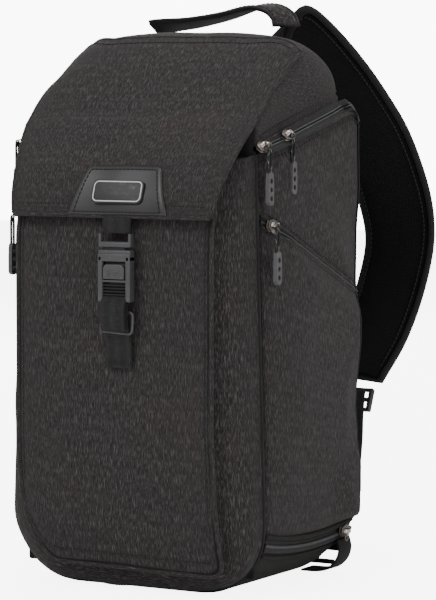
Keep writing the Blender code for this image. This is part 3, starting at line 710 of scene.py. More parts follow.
class Piece:
    """A mesh under construction, in millimetres, that ends as one scene object."""

    def __init__(self, name: str, shift: float = 0.0) -> None:
        """Start an empty piece.

        Args:
            name: The finished object's name.
            shift: How far right of where it is drawn the piece ends up.
        """
        self.name, self.shift = name, shift
        self.mesh = bmesh.new()
        self.cloth = self.mesh.loops.layers.uv.new("cloth")
        self.finishes: list[Finish] = []

    def area(self) -> float:
        """Return the area of the piece's faces so far, in square millimetres."""
        return sum(face.calc_area() for face in self.mesh.faces)

    def tint(self, faces: Iterable[bmesh.types.BMFace], finish: Finish) -> None:
        """Give some faces a finish.

        Args:
            faces: The faces.
            finish: Their finish.
        """
        if finish not in self.finishes:
            self.finishes.append(finish)
        for face in faces:
            face.material_index = self.finishes.index(finish)
            face.smooth = True

    def lay(self, place: Place, finish: Finish, size: tuple[float, float], cells: tuple[int, int],
            closed: bool = False, capped: bool = False, outward: Optional[Vector] = None) -> list[bmesh.types.BMVert]:
        """Lay a grid over a surface.

        Args:
            place: Gives the point for a fraction across and a fraction along.
            finish: The surface's finish.
            size: Real width and length, for the cloth's pattern, in millimetres.
            cells: Cells across and along.
            closed: Whether the far edge across meets the near one, as round a tube.
            capped: Whether the two ends along are closed with a face each.
            outward: A direction that the first face has to look along; a flipped grid is turned over.

        Returns:
            The grid's vertices.
        """
        start = len(self.mesh.faces)
        made = bmesh.ops.create_grid(self.mesh, x_segments=cells[0], y_segments=cells[1], size=0.5)["verts"]
        self.mesh.faces.ensure_lookup_table()
        faces = self.mesh.faces[start:]
        for face in faces:
            for loop in face.loops:
                loop[self.cloth].uv = ((loop.vert.co.x + 0.5) * size[0] * MM, (loop.vert.co.y + 0.5) * size[1] * MM)
        for vert in made:
            vert.co = place(clamp(vert.co.x + 0.5), clamp(vert.co.y + 0.5))
        self.tint(faces, finish)
        if closed:
            pairs = [vert for vert in made if vert.is_boundary]
            bmesh.ops.remove_doubles(self.mesh, verts=pairs, dist=0.001)
            made = [vert for vert in made if vert.is_valid]
        if capped:
            rims = [edge for edge in {e for v in made for e in v.link_edges} if edge.is_boundary]
            caps = bmesh.ops.holes_fill(self.mesh, edges=rims, sides=0)["faces"]
            self.tint(caps, finish)
        if closed and capped:
            bmesh.ops.recalc_face_normals(self.mesh, faces=[f for f in {f for v in made for f in v.link_faces}])
        elif outward is not None:
            whole = sum((f.normal * f.calc_area() for f in self.fresh(faces)), Vector())
            if whole.dot(outward) < 0:
                bmesh.ops.reverse_faces(self.mesh, faces=faces)
        return made

    @staticmethod
    def fresh(faces: Iterable[bmesh.types.BMFace]) -> list[bmesh.types.BMFace]:
        """Return the faces with their normals worked out."""
        listed = list(faces)
        for face in listed:
            face.normal_update()
        return listed

    def sweep(self, path: Sequence[Vector], profile: Sequence[Vector], finish: Finish,
              up: Callable[[int, Vector], Vector] = steady(0, 0, 1), loop: bool = False,
              swell: Callable[[float], float] = lambda _: 1.0) -> list[bmesh.types.BMVert]:
        """Run a cross section along a path.

        Args:
            path: The path's points.
            profile: The cross section's points: first number along the side, second along up.
            finish: The surface's finish.
            up: Gives the up direction at a point from its number and the path's direction there.
            loop: Whether the path closes on itself.
            swell: Gives the section's scale at a fraction of the path.

        Returns:
            The swept surface's vertices.
        """
        count = len(path)
        frames = []
        for i, point in enumerate(path):
            ahead = path[(i + 1) % count] if loop else path[min(i + 1, count - 1)]
            behind = path[i - 1] if loop or i else path[0]
            along = (ahead - behind).normalized()
            side = along.cross(up(i, along)).normalized()
            frames.append((Vector(point), side, side.cross(along)))
        length = sum((b - a).length for a, b in zip(path, path[1:]))
        girth = sum((b - a).length for a, b in zip(profile, [*profile[1:], profile[0]]))

        def place(across: float, along: float) -> Vector:
            """Return the surface point for two fractions."""
            row = round(along * (count if loop else count - 1)) % (count if loop else count + 1)
            spot, side, top = frames[row]
            mark = profile[round(across * len(profile)) % len(profile)] * swell(along)
            return spot + side * mark.x + top * mark.y

        return self.lay(place, finish, (girth, length), (len(profile), count if loop else count - 1), closed=True,
                        capped=not loop) if not loop else self._lay_ring(place, finish, (girth, length),
                                                                          (len(profile), count))

    def _lay_ring(self, place: Place, finish: Finish, size: tuple[float, float],
                  cells: tuple[int, int]) -> list[bmesh.types.BMVert]:
        """Lay a surface that closes both ways, and face it outwards.

        Args:
            place: Gives the point for two fractions.
            finish: The surface's finish.
            size: Real girth and length in millimetres.
            cells: Cells round and along.

        Returns:
            The surface's vertices.
        """
        made = self.lay(place, finish, size, cells, closed=True)
        bmesh.ops.recalc_face_normals(self.mesh, faces=list({f for v in made for f in v.link_faces}))
        return made

    def block(self, low: Sequence[float], high: Sequence[float], finish: Finish, round_off: float = 0.0,
              segments: int = 2) -> list[bmesh.types.BMVert]:
        """Add a block with rounded edges.

        Args:
            low: Lowest corner.
            high: Highest corner.
            finish: Its finish.
            round_off: Width of the rounding.
            segments: Steps in the rounding.

        Returns:
            The block's vertices.
        """
        made = bmesh.ops.create_cube(self.mesh, size=1.0)["verts"]
        for vert in made:
            vert.co = Vector(tuple(a + (b - a) * (c + 0.5) for a, b, c in zip(low, high, vert.co)))
        if round_off:
            edges = list({e for v in made for e in v.link_edges})
            swept = bmesh.ops.bevel(self.mesh, geom=edges, offset=round_off, segments=segments, affect="EDGES",
                                    profile=0.5, material=-1, clamp_overlap=True)
            made = list({v for f in swept["faces"] for v in f.verts})
        faces = list({f for v in made for f in v.link_faces})
        self.tint(faces, finish)
        self.wrap(faces)
        return list({v for f in faces for v in f.verts})

    def wrap(self, faces: Iterable[bmesh.types.BMFace]) -> None:
        """Lay the cloth pattern flat on each face by the way it looks."""
        for face in self.fresh(faces):
            drop = max(range(3), key=lambda axis: abs(face.normal[axis]))
            first, second = [axis for axis in range(3) if axis != drop]
            for loop in face.loops:
                loop[self.cloth].uv = (loop.vert.co[first] * MM, loop.vert.co[second] * MM)

    def plate(self, outline: Sequence[Sequence[float]], depth: float, finish: Finish, matrix: Matrix,
              round_off: float = 0.0, segments: int = 2) -> list[bmesh.types.BMVert]:
        """Add a plate of any outline.

        Args:
            outline: Its corners in its own plane, anticlockwise.
            depth: Its thickness along its own Z.
            finish: Its finish.
            matrix: Moves it to its place.
            round_off: Width of the rounding on both rims.
            segments: Steps in the rounding.

        Returns:
            The plate's vertices.
        """
        corners = [self.mesh.verts.new((p[0], p[1], 0.0)) for p in outline]
        base = self.mesh.faces.new(corners)
        swept = bmesh.ops.extrude_face_region(self.mesh, geom=[base])
        raised = [item for item in swept["geom"] if isinstance(item, bmesh.types.BMVert)]
        bmesh.ops.translate(self.mesh, vec=(0, 0, depth), verts=raised)
        made = corners + raised
        faces = list({f for v in made for f in v.link_faces})
        bmesh.ops.recalc_face_normals(self.mesh, faces=faces)
        if round_off:
            rims = [e for e in {e for v in made for e in v.link_edges}
                    if abs(e.verts[0].co.z - e.verts[1].co.z) < 1e-6]
            swept = bmesh.ops.bevel(self.mesh, geom=rims, offset=round_off, segments=segments, affect="EDGES",
                                    profile=0.5, material=-1, clamp_overlap=True)
            faces = list({f for v in swept["verts"] for f in v.link_faces} | {f for f in faces if f.is_valid})
        self.tint(faces, finish)
        self.wrap(faces)
        made = list({v for f in faces for v in f.verts})
        bmesh.ops.transform(self.mesh, matrix=matrix, verts=made)
        return made

    def stitches(self, path: Sequence[Vector], finish: Finish, out: Callable[[Vector], Vector],
                 pitch: float = 3.6, gauge: float = 0.42, lift: float = 0.15) -> None:
        """Sew a row of stitches along a path.

        Args:
            path: The seam's points.
            finish: The thread's finish.
            out: Gives the direction away from the cloth at a point.
            pitch: Distance from one stitch to the next.
            gauge: The thread's radius.
            lift: How far the thread's middle stands off the path.
        """
        length = sum((b - a).length for a, b in zip(path, path[1:]))
        count = max(2, round(length / pitch))
        marks = even_path(path, count * 4 + 1)
        for i in range(count):
            start, stop = marks[i * 4], marks[i * 4 + 3]
            along = (stop - start).normalized()
            away = out(start)
            away = (away - along * away.dot(along)).normalized()
            across = along.cross(away)
            middle = (start + stop) / 2 + away * lift
            turn = Matrix((across, away, along)).transposed().to_4x4()
            turn.translation = middle
            made = bmesh.ops.create_cone(self.mesh, cap_ends=True, segments=5, radius1=gauge, radius2=gauge,
                                         depth=(stop - start).length, matrix=turn)["verts"]
            self.tint({f for v in made for f in v.link_faces}, finish)

    def finish_as(self, body: str, replaced: Sequence[str] = (), slot: Optional[Slot] = None, skin: float = 0.0,
                  rounded: float = 0.0, subdivide: int = 0) -> bpy.types.Object:
        """Turn the piece into a scene object that rides a body.

        Args:
            body: The body it rides, or nothing where it rides none.
            replaced: The frame's nodes it stands for.
            slot: Not used.
            skin: Wall thickness to give it inwards, in millimetres.
            rounded: Bevel width on its sharp edges, in millimetres.
            subdivide: Levels of smooth subdivision.

        Returns:
            The finished object.
        """
        bmesh.ops.translate(self.mesh, vec=(self.shift, 0, 0), verts=self.mesh.verts)
        bmesh.ops.scale(self.mesh, vec=(MM, MM, MM), verts=self.mesh.verts)
        data = bpy.data.meshes.new(self.name)
        self.mesh.to_mesh(data)
        self.mesh.free()
        made = bpy.data.objects.new(self.name, data)
        bpy.context.scene.collection.objects.link(made)
        for finish in self.finishes:
            data.materials.append(finish.material())
        if skin:
            wall = made.modifiers.new("wall", "SOLIDIFY")
            wall.thickness, wall.offset, wall.use_even_offset = skin * MM, -1.0, False
        if rounded:
            edge = made.modifiers.new("edge", "BEVEL")
            edge.width, edge.segments, edge.limit_method = rounded * MM, 2, "ANGLE"
        if subdivide:
            smooth = made.modifiers.new("smooth", "SUBSURF")
            smooth.levels = smooth.render_levels = subdivide
        settle(made)
        if body:
            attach(made, body)
        if replaced:
            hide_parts(*replaced)
        LOG.info("%s: %d faces", made.name, len(made.data.polygons))
        return made


def settle(made: bpy.types.Object) -> None:
    """Apply an object's modifiers to its mesh."""
    if not made.modifiers:
        return
    bpy.context.view_layer.update()
    graph = bpy.context.evaluated_depsgraph_get()
    shaped = bpy.data.meshes.new_from_object(made.evaluated_get(graph), preserve_all_data_layers=True,
                                             depsgraph=graph)
    made.modifiers.clear()
    old, made.data = made.data, shaped
    bpy.data.meshes.remove(old)
    made.data.name = made.name


def declare_sheet(made: bpy.types.Object, wide: float, long: float, area: float) -> None:
    """Log a piece's cut size and area, as cloth cut flat before it was sewn.

    Args:
        made: The finished piece.
        wide: Width of the cut, in millimetres.
        long: Length of the cut, in millimetres.
        area: Area of one face of the cloth, in square millimetres.
    """
    LOG.info("%s: cut %.0f x %.0f mm, %.0f mm2", made.name, wide, long, area)


def facing(direction: Sequence[float], up: Sequence[float], place: Sequence[float]) -> Matrix:
    """Return the matrix that stands a flat shape up in space.

    Args:
        direction: Where the shape's own Z goes.
        up: Roughly where its own Y goes.
        place: Where its own origin goes.

    Returns:
        The matrix.
    """
    out = Vector(direction).normalized()
    side = Vector(up).cross(out).normalized()
    turn = Matrix((side, out.cross(side), out)).transposed().to_4x4()
    turn.translation = Vector(place)
    return turn


# ---------------------------------------------------------------- the bag's form


SLOPE = [(-48, 329), (-31, 347.6), (-2, 391), (28, 391)]  # control points of the crown, as (y, z)


@dataclass(frozen=True)
class Form:
    """The bag's overall form: the lines and surfaces that its panels share, in millimetres."""

    front: float = -50.0
    rear: float = 86.0
    top: float = 391.0
    seam_low: float = 101.0
    seam_high: float = 94.0
    zip_front: float = 310.5
    zip_slope: float = 0.2478
    pocket_front: float = 262.0
    pocket_slope: float = -0.421
    base_round: float = 45.0
    base_flat: float = 51.0
    rear_edge: Marks = ((35, 100.8), (45, 108.3), (62, 110.4), (75, 110.0), (100, 105.8), (122, 104.2), (186, 109.4),
                        (200, 106.7), (210, 103.8), (245, 104.2), (280, 106.4), (320, 105.8))

    def zip_line(self, y: float) -> float:
        """Return the height of a side door's zip."""
        return self.zip_front + self.zip_slope * (y - self.front)

    def pocket_line(self, y: float) -> float:
        """Return the height of a side pocket's zip."""
        return self.pocket_front + self.pocket_slope * (y - self.front)

    def seam(self, z: float) -> float:
        """Return half the body's width at its front seam."""
        if z >= self.base_round:
            return self.seam_low - (self.seam_low - self.seam_high) * clamp((z - 60) / 250)
        part = (self.base_round - max(z, 0.0)) / self.base_round
        return self.base_flat + (self.seam_low - self.base_flat) * math.sqrt(max(0.0, 1 - part * part))

    def side(self, y: float, z: float) -> float:
        """Return half the body's width at a point of its side, bulge included."""
        swell = 11.5 + 2.0 * math.exp(-((z - 190) / 60) ** 2)
        swell *= 0.25 + 0.75 * ease(z, 44, 120)
        bulge = swell * (1 - math.exp(-(y - self.front) / 27))
        wave = ripple(Vector((0, y, z)), 38, 1.3, 4.0) * ease(y, -46, -25)
        groove = 104.5 + 4.0 * ease(abs(z - self.pocket_line(y)), 2, 20)
        half = self.seam(z) + bulge + wave
        half += (table(self.rear_edge, z) - 0.4 * max(0.0, 35 - z) - half) * ease(y, 40, 84)
        return min(half, groove)

    def crest(self, y: float) -> float:
        """Return the height of the hood's middle line."""
        if y < 28:
            line = cubic(SLOPE, 60)
        else:
            line = cubic([(28, 391), (60, 391), (84, 372), (86, 344.7)], 60)
        for a, b in zip(line, line[1:]):
            if a.x <= y <= b.x:
                return a.y + (b.y - a.y) * (y - a.x) / max(b.x - a.x, 1e-6)
        return line[0].y if y < line[0].x else line[-1].y

    def hood_half(self, y: float) -> float:
        """Return half the hood's width."""
        turn = clamp((y - 40) / 46)
        return 94.0 - 13.0 * (1 - math.sqrt(1 - turn * turn * 0.96))

    def hood_height(self, x: float, y: float) -> float:
        """Return the hood's height over a point."""
        low = self.zip_line(y) + 0.8
        power = 4.6 + 4.4 * ease(-y, 5, 48)
        part = clamp(abs(x) / self.hood_half(y), 0.0, 1.0)
        return low + (self.crest(y) - low) * (1 - part ** power) ** (1 / power)

    def hood_section(self, y: float, count: int) -> list[Vector]:
        """Return one cross section of the hood, from right to left.

        Args:
            y: Where the section is.
            count: How many points it has.

        Returns:
            Its points, evenly spaced.
        """
        low = self.zip_line(y) + 0.8
        power = 4.6 + 4.4 * ease(-y, 5, 48)
        half, rise = self.hood_half(y), self.crest(y) - low
        arch = []
        for i in range(161):
            angle = math.pi * i / 160
            wide, tall = math.cos(angle), math.sin(angle)
            arch.append(Vector((math.copysign(abs(wide) ** (2 / power), wide) * half, y,
                                low + rise * abs(tall) ** (2 / power))))
        return even_path(arch, count)


FORM = Form()
FASTENER_X = 7.5  # how far right of the middle the patch, the badge and the buckle stand


# ---------------------------------------------------------------- sub-assemblies


@dataclass
class Hood:
    """Padded hood over the top of the bag, and the crown seam where the flap's cloth starts."""

    wall: float = 3.4
    rows: int = 54
    across: int = 72
    hem: float = 4.0
    lines: list[list[Vector]] = field(default_factory=list)

    def __post_init__(self) -> None:
        """Work out the hood's cross sections once."""
        line = cubic(SLOPE, 50)
        line += cubic([(28, 391), (60, 391), (84, 372), (86, 346.6)], 50)[1:]
        for mark in even_path([(p.x, p.y, 0) for p in line], self.rows + 1):
            self.lines.append(FORM.hood_section(mark.x, self.across + 1))

    def surface(self, across: float, along: float) -> Vector:
        """Return a point of the hood's outer surface."""
        row = self.lines[round(along * self.rows)]
        spot = row[round(across * self.across)].copy()
        soft = math.sin(math.pi * across) * ease(along, 0.15, 0.5)
        spot.z += ripple(spot, 42, 1.8, 2.0) * soft
        spot.x += ripple(spot, 30, 1.2, 9.0) * (1 - soft) * ease(along, 0.1, 0.3)
        return spot

    def build(self) -> None:
        """Build the hood, its hem and its seams."""
        shell = Piece("hood_shell")
        shell.lay(self.surface, HEATHER, (300, 250), (self.across, self.rows), outward=None)
        bmesh.ops.recalc_face_normals(shell.mesh, faces=shell.mesh.faces)
        top = max(shell.mesh.faces, key=lambda f: f.calc_center_median().z)
        if top.normal.z < 0:
            bmesh.ops.reverse_faces(shell.mesh, faces=shell.mesh.faces)
        shell.finish_as("root", ["top_hood"], skin=self.wall)
        self.edging()

    def edging(self) -> None:
        """Build the turned hem over the zips, its stitching and the rear seam's piping."""
        trim = Piece("hood_trim")
        for edge in (0, -1):
            hem = [row[edge] for row in self.lines[1:-1]]
            sign = 1 if edge == 0 else -1
            away = Vector((sign, 0, 0))
            trim.sweep([p + Vector((sign * 0.3, 0, 0.4)) for p in hem], rounded_rectangle(3.0, 2.2, 1.0, 2), HEATHER,
                       up=lambda _, __, away=away: away)
            line = [self.at(row, sign, self.hem) for row in self.lines[2:-3]]
            trim.stitches([p + away * 0.2 for p in line], THREAD, lambda _, away=away: away)
        rear = [p + Vector((0, 0.4, 0)) for p in self.lines[-1]]
        trim.sweep(rear, circle(1.9, 8), BINDING, up=steady(0, 1, 0))
        trim.finish_as("root")

    @staticmethod
    def at(row: Sequence[Vector], sign: int, lift: float) -> Vector:
        """Return the point of a cross section that lies a given way up from its hem."""
        line = list(row) if sign > 0 else list(reversed(row))
        run = 0.0
        for a, b in zip(line, line[1:]):
            run += (b - a).length
            if run >= lift:
                return b.copy()
        return line[-1].copy()


@dataclass
class Flap:
    """Front flap: one cloth from the crown seam over the fold to its hem, with patch and badge."""

    ridge: float = 10.0
    fold: tuple[float, float] = (-50.2, 331.0)
    high_half: float = 92.0
    low_half: float = 79.5
    hem: tuple[float, float] = (-89.2, 264.0)
    cloth: float = 2.2
    rows: list[Vector] = field(default_factory=list)
    crown_rows: int = 30
    drop_rows: int = 34

    def __post_init__(self) -> None:
        """Work out the flap's middle line once, as (y, z, 0)."""
        slope = cubic(SLOPE, 60)
        crown = [Vector((p.x, p.y, 0)) for p in reversed(slope) if p.x <= self.ridge]
        drop = cubic([(-50.6, 330.55, 0), (-72, 306, 0), (-87, 288, 0), (*self.hem, 0)], 60)
        self.rows = even_path(crown, self.crown_rows + 1) + even_path(drop, self.drop_rows)

    def lie(self, t: float, along: float, off: float = 0.0) -> Vector:
        """Return a point on the flap's outer face.

        Args:
            t: Place across, from -1 at the left edge to 1 at the right.
            along: Fraction from the crown seam to the hem.
            off: Height over the face.

        Returns:
            The point.
        """
        mark = along * (len(self.rows) - 1)
        low = min(int(mark), len(self.rows) - 2)
        middle = self.rows[low].lerp(self.rows[low + 1], mark - low)
        y, z = middle.x, middle.y
        if y > -48.2:
            half = 88.5 + 3.3 * clamp((self.ridge - y) / 45)
            x, y = t * half, y + 15.0 * ease(abs(t), 0.6, 1.0) * ease(y, -30, self.ridge)
            height = FORM.hood_height(x, y)
            slope_x = (FORM.hood_height(x + 0.2, y) - FORM.hood_height(x - 0.2, y)) / 0.4
            slope_y = (FORM.hood_height(x, y + 0.3) - FORM.hood_height(x, y - 0.3)) / 0.6
            out = Vector((-slope_x, -slope_y, 1)).normalized()
            wave = ripple(Vector((x, y, 0)), 34, 0.9, 6.0)
            return Vector((x, y, height)) + out * (1.7 + wave * 0.6 + off)
        part = clamp((self.fold[1] - z) / (self.fold[1] - self.hem[1]))
        half = self.high_half + (self.low_half - self.high_half) * part
        droop = 5.2 * abs(t) ** 9 * (1 - part)
        curl = 2.5 * ease(abs(t), 0.80, 1.02) * ease(part, 0.05, 0.5)
        wave = ripple(Vector((t * half, 0, z)), 32, 1.5, 1.0) * ease(part, 0.0, 0.35)
        ahead = self.rows[min(low + 1, len(self.rows) - 1)] - self.rows[max(low - 1, 0)]
        out = Vector((0, ahead.y, -ahead.x)).normalized()
        if out.y > 0:
            out.negate()
        return Vector((t * half, y + curl, z - droop)) + out * (wave + 0.5 + off)

    @staticmethod
    def stretch(across: float) -> float:
        """Return a place across the cloth, with closer steps near both edges."""
        t = 2 * across - 1
        return 0.45 * t + 0.55 * math.sin(math.pi * t / 2)

    def build(self) -> None:
        """Build the flap and everything sewn to it."""
        cloth = Piece("flap_cloth")
        cloth.lay(lambda u, v: self.lie(self.stretch(u), v), HEATHER, (184, 190), (64, len(self.rows) - 1),
                  outward=Vector((0, -1, 0.4)))
        near = [v for v in cloth.mesh.verts if -62 < v.co.y < -38 and not v.is_boundary]
        for _ in range(8):
            bmesh.ops.smooth_vert(cloth.mesh, verts=near, factor=0.5, use_axis_x=False, use_axis_y=True,
                                  use_axis_z=True)
        area = cloth.area()
        length = sum((b - a).length for a, b in zip(self.rows, self.rows[1:]))
        hanging = cloth.finish_as("", ["crown_cover", "front_flap"], skin=self.cloth)
        self.bend(hanging)
        declare_sheet(hanging, 2 * self.high_half, length, area)
        edges = Piece("flap_edging")
        count = len(self.rows)
        for side in (-1, 1):
            line = [self.lie(side * 0.997, i / (count - 1), -0.9) for i in range(count)]
            edges.sweep(line, circle(1.75, 8), HEATHER, up=steady(0, -0.7, 0.7))
        seam = [self.lie(self.stretch(i / 60), 0.0, -0.7) for i in range(61)]
        edges.sweep(seam, circle(1.7, 8), HEATHER, up=steady(0, 0.3, 1))
        row = [self.lie(self.stretch(i / 60) * 0.95, 0.045, 0.1) for i in range(61)]
        edges.stitches(row, THREAD, steady(0, -0.3, 1))
        hem = [self.lie(self.stretch(i / 60) * 0.997, 1.0, -0.9) for i in range(61)]
        edges.sweep(hem, circle(1.75, 8), HEATHER, up=steady(0, -1, 0))
        row = [self.lie(self.stretch(i / 60) * 0.94, 0.95, 0.1) for i in range(61)]
        edges.stitches(row, THREAD, steady(0, -1, 0))
        self.bend(edges.finish_as(""))
        self.patch()
        self.badge()
        self.webbing()

    @staticmethod
    def bend(made: bpy.types.Object) -> None:
        """Bake a piece's transform into its mesh."""
        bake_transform(made)

    def row_of(self, z: float) -> float:
        """Return how far along the cloth a height of the hanging part is."""
        for i in range(self.crown_rows + 1, len(self.rows) - 1):
            if self.rows[i].y >= z >= self.rows[i + 1].y:
                return (i + (self.rows[i].y - z) / (self.rows[i].y - self.rows[i + 1].y)) / (len(self.rows) - 1)
        return 1.0

    def patch(self) -> None:
        """Build the leatherette patch, which widens towards the hem."""
        high, low = self.row_of(297.0), self.row_of(264.4)

        def half(v: float) -> float:
            """Return half the patch's width at a fraction down it."""
            corner = 4.0 * (1 - math.sqrt(1 - clamp((0.10 - v) / 0.10) ** 2))
            return 29.5 + 11.0 * v - corner

        def place(u: float, v: float) -> Vector:
            """Return a point of the patch's face."""
            along = high + (low - high) * v
            z = 297 - 33 * v
            wide = self.high_half + (self.low_half - self.high_half) * (self.fold[1] - z) / (self.fold[1] - self.hem[1])
            edge = max(ease(abs(2 * u - 1), 0.94, 1.0), ease(0.05 - v, 0.0, 0.05), ease(v, 0.97, 1.0))
            return self.lie(((2 * u - 1) * half(v) + FASTENER_X) / wide, along, 1.5 - 0.6 * edge)

        panel = Piece("patch_panel")
        panel.lay(place, LEATHER, (76, 44), (40, 22), outward=Vector((0, -1, 0)))
        panel.finish_as("flap", ["flap_patch"], skin=1.1)
        sewn = Piece("patch_stitching")
        border = [(0.06, 0.97 - 0.9 * i / 20) for i in range(21)] + [(0.06 + 0.88 * i / 30, 0.07) for i in range(31)]
        border += [(0.94, 0.07 + 0.9 * i / 20) for i in range(21)]
        line = even_path([place(u, v) for u, v in border], 90)
        sewn.stitches(line, THREAD, steady(0, -1, 0), pitch=3.2, lift=0.25)
        sewn.stitches([place(0.06 + 0.88 * i / 30, 0.95) for i in range(31)], THREAD, steady(0, -1, 0),
                      pitch=3.2, lift=0.25)
        sewn.finish_as("flap")

    def badge(self) -> None:
        """Build the blank badge: a dark plate with a thin pale rim."""
        along = self.row_of(279.6)
        middle = self.lie(0.0, along, 2.2) + Vector((FASTENER_X, 0, 0))
        tip, tail = self.lie(0.0, self.row_of(287)), self.lie(0.0, self.row_of(272))
        up = (tip - tail).normalized()
        out = Vector((1, 0, 0)).cross(up).normalized()
        out = out if out.y < 0 else -out
        plate = Piece("badge_blank")
        outline = rounded_rectangle(41, 17, 4.2, 5)
        plate.plate(outline, 1.5, PLASTIC_DARK, facing(out, up, middle), 0.5)
        plate.finish_as("flap", ["badge_plate"])
        rim = Piece("badge_rim")
        turn = facing(out, up, middle + out * 1.5)
        line = [turn @ Vector((p.x, p.y, 0)) for p in rounded_rectangle(38, 14, 3.2, 6)]
        rim.sweep(line, circle(0.45, 6), PLATE_EDGE, up=lambda _, __: out, loop=True)
        rim.finish_as("flap")

    def webbing(self) -> None:
        """Build the short webbing between the hem and the buckle's tongue."""
        strip = Piece("flap_strip")
        path = [(FASTENER_X, -86.9, 272), (FASTENER_X, -88.9, 266), (FASTENER_X, -89.9, 260),
                (FASTENER_X, -90.1, 252.0)]
        strip.sweep(even_path(smooth_path(path, 5), 22), rounded_rectangle(22.5, 1.7, 0.8, 2), WEBBING,
                    up=steady(0, -1, 0))
        strip.finish_as("flap", ["flap_webbing"])


@dataclass
class Buckle:
    """Push-button buckle on the front, with its lower webbing, keeper ring and sewn tab."""

    half: float = 13.0
    low: float = 204.6
    high: float = 241.5
    front: float = -94.7
    back: float = -87.4

    def build(self) -> None:
        """Build the buckle from the tongue down to the tab."""
        self.tongue()
        self.body()
        self.button()
        self.loose_end()
        self.ring()
        self.tab()

    def tongue(self) -> None:
        """Build the tongue: a shoulder bar with two ears that take the flap's webbing."""
        made = Piece("tongue_bar", FASTENER_X)
        made.block((-12.9, -94.0, 242.4), (12.9, -88.0, 246.4), PLASTIC, 1.3, 3)
        for side in (-1, 1):
            made.block((min(side * 10.9, side * 13), -93.6, 243.0), (max(side * 10.9, side * 13), -88.2, 252.0),
                       PLASTIC, 0.9, 3)
        # The inset strip between the ears and the neck under the bar take the dark plastic: painted shade in the recess
        # and in the gap above the body.
        made.block((-10.9, -93.4, 243.6), (10.9, -90.6, 246.2), PLASTIC_DARK, 0.5, 2)
        made.block((-7.5, -92.2, 238.9), (7.5, -89.4, 242.6), PLASTIC_DARK, 0.5, 2)
        made.finish_as("flap", ["buckle_tongue"])

    def body(self) -> None:
        """Build the body: two side rails, a brow, a well for the button, and a ladder with its lower bar."""
        made = Piece("buckle_frame", FASTENER_X)
        front, back = self.front, self.back
        made.block((-13, front + 0.6, 236.2), (13, back, 240.8), PLASTIC, 1.2, 3)
        made.block((-13, front, 232.6), (13, back, 238.2), PLASTIC, 0.9, 3)
        for side in (-1, 1):
            low, high = sorted((side * 9.2, side * 13.0))
            made.block((low, front, 204.7), (high, back, 236.8), PLASTIC, 1.1, 3)
        made.block((-10, front + 0.2, 218.4), (10, back + 1.0, 220.0), PLASTIC, 0.5, 2)
        # The well behind the button takes the dark plastic: painted shade in the recess.
        made.block((-10, -91.6, 205.0), (10, -88.2, 236.0), PLASTIC_DARK, 0.4, 1)
        made.block((-10.6, -94.4, 204.8), (10.6, -89.4, 207.2), PLASTIC, 0.9, 3)
        for i in range(4):
            z = 209.2 + 2.15 * i
            made.block((-9.4, -94.0, z), (9.4, -91.2, z + 1.25), WEBBING, 0.5, 2)
        made.finish_as("root", ["buckle_body"])

    def button(self) -> None:
        """Build the push button, whose upper corners alone are rounded."""
        made = Piece("button_panel", FASTENER_X)
        outline = [(-8.5, -5.0), (8.5, -5.0), (8.5, 2.4), (7.6, 4.3), (5.6, 5.2), (-5.6, 5.2), (-7.6, 4.3),
                   (-8.5, 2.4)]
        made.plate(outline, 2.4, PLASTIC, facing((0, -1, 0), (0, 0, 1), (0, -92.6, 225.6)), 0.55, 3)
        for i in range(3):
            made.block((-5.2, -95.3, 222.2 + 1.7 * i), (5.2, -94.8, 222.9 + 1.7 * i), PLASTIC, 0.2, 1)
        made.finish_as("button", ["buckle_button"])

    def loose_end(self) -> None:
        """Build the webbing that hangs from the ladder, folded on itself."""
        made = Piece("loose_strip", FASTENER_X)
        path = smooth_path([(0, -92.4, 208.5), (0, -94.6, 205.2), (0, -96.1, 201.5), (0, -96.4, 195),
                            (0, -95.6, 188.5), (0, -94.2, 184.8)], 4)
        made.sweep(path, rounded_rectangle(20.2, 1.7, 0.8, 2), WEBBING, up=steady(0, -1, 0))
        under = smooth_path([(0, -91.4, 206.5), (0, -92.6, 201.5), (0, -93.4, 195), (0, -92.6, 189),
                             (0, -91.0, 185.2), (0, -89.2, 181.6)], 4)
        made.sweep(under, rounded_rectangle(20.6, 1.5, 0.7, 2), WEBBING, up=steady(0, -1, 0))
        made.stitches([Vector((-8.5 + 17 * i / 10, -95.6, 187.2)) for i in range(11)], THREAD,
                      steady(0, -1, 0), pitch=2.6)
        made.finish_as("root", ["lower_webbing"])

    def ring(self) -> None:
        """Build the square keeper ring, slightly tilted."""
        made = Piece("ring_loop", FASTENER_X)
        tilt = Matrix.Translation((0, -90.2, 190.8)) @ Matrix.Rotation(math.radians(3), 4, "Y")
        line = [tilt @ Vector((p.x, 0, p.y)) for p in rounded_rectangle(25.2, 14.6, 2.6, 4)]
        made.sweep(line, circle(1.15, 8), PLASTIC, up=steady(0, -1, 0), loop=True)
        made.finish_as("root", ["keeper_ring"])

    def tab(self) -> None:
        """Build the tab that holds the ring, with its lower end turned in and sewn."""
        made = Piece("tab_strip", FASTENER_X)
        path = smooth_path([(0, -89.6, 184.2), (0, -88.7, 181), (0, -87.4, 176), (0, -87.0, 168), (0, -87.1, 158.8)],
                           5)
        made.sweep(path, rounded_rectangle(20.8, 1.9, 0.9, 2), WEBBING, up=steady(0, -1, 0))
        for z in (161.4, 163.6):
            made.stitches([Vector((-9 + 18 * i / 10, -88.05, z)) for i in range(11)], THREAD,
                          steady(0, -1, 0), pitch=2.4)
        made.finish_as("root", ["sewn_tab"])


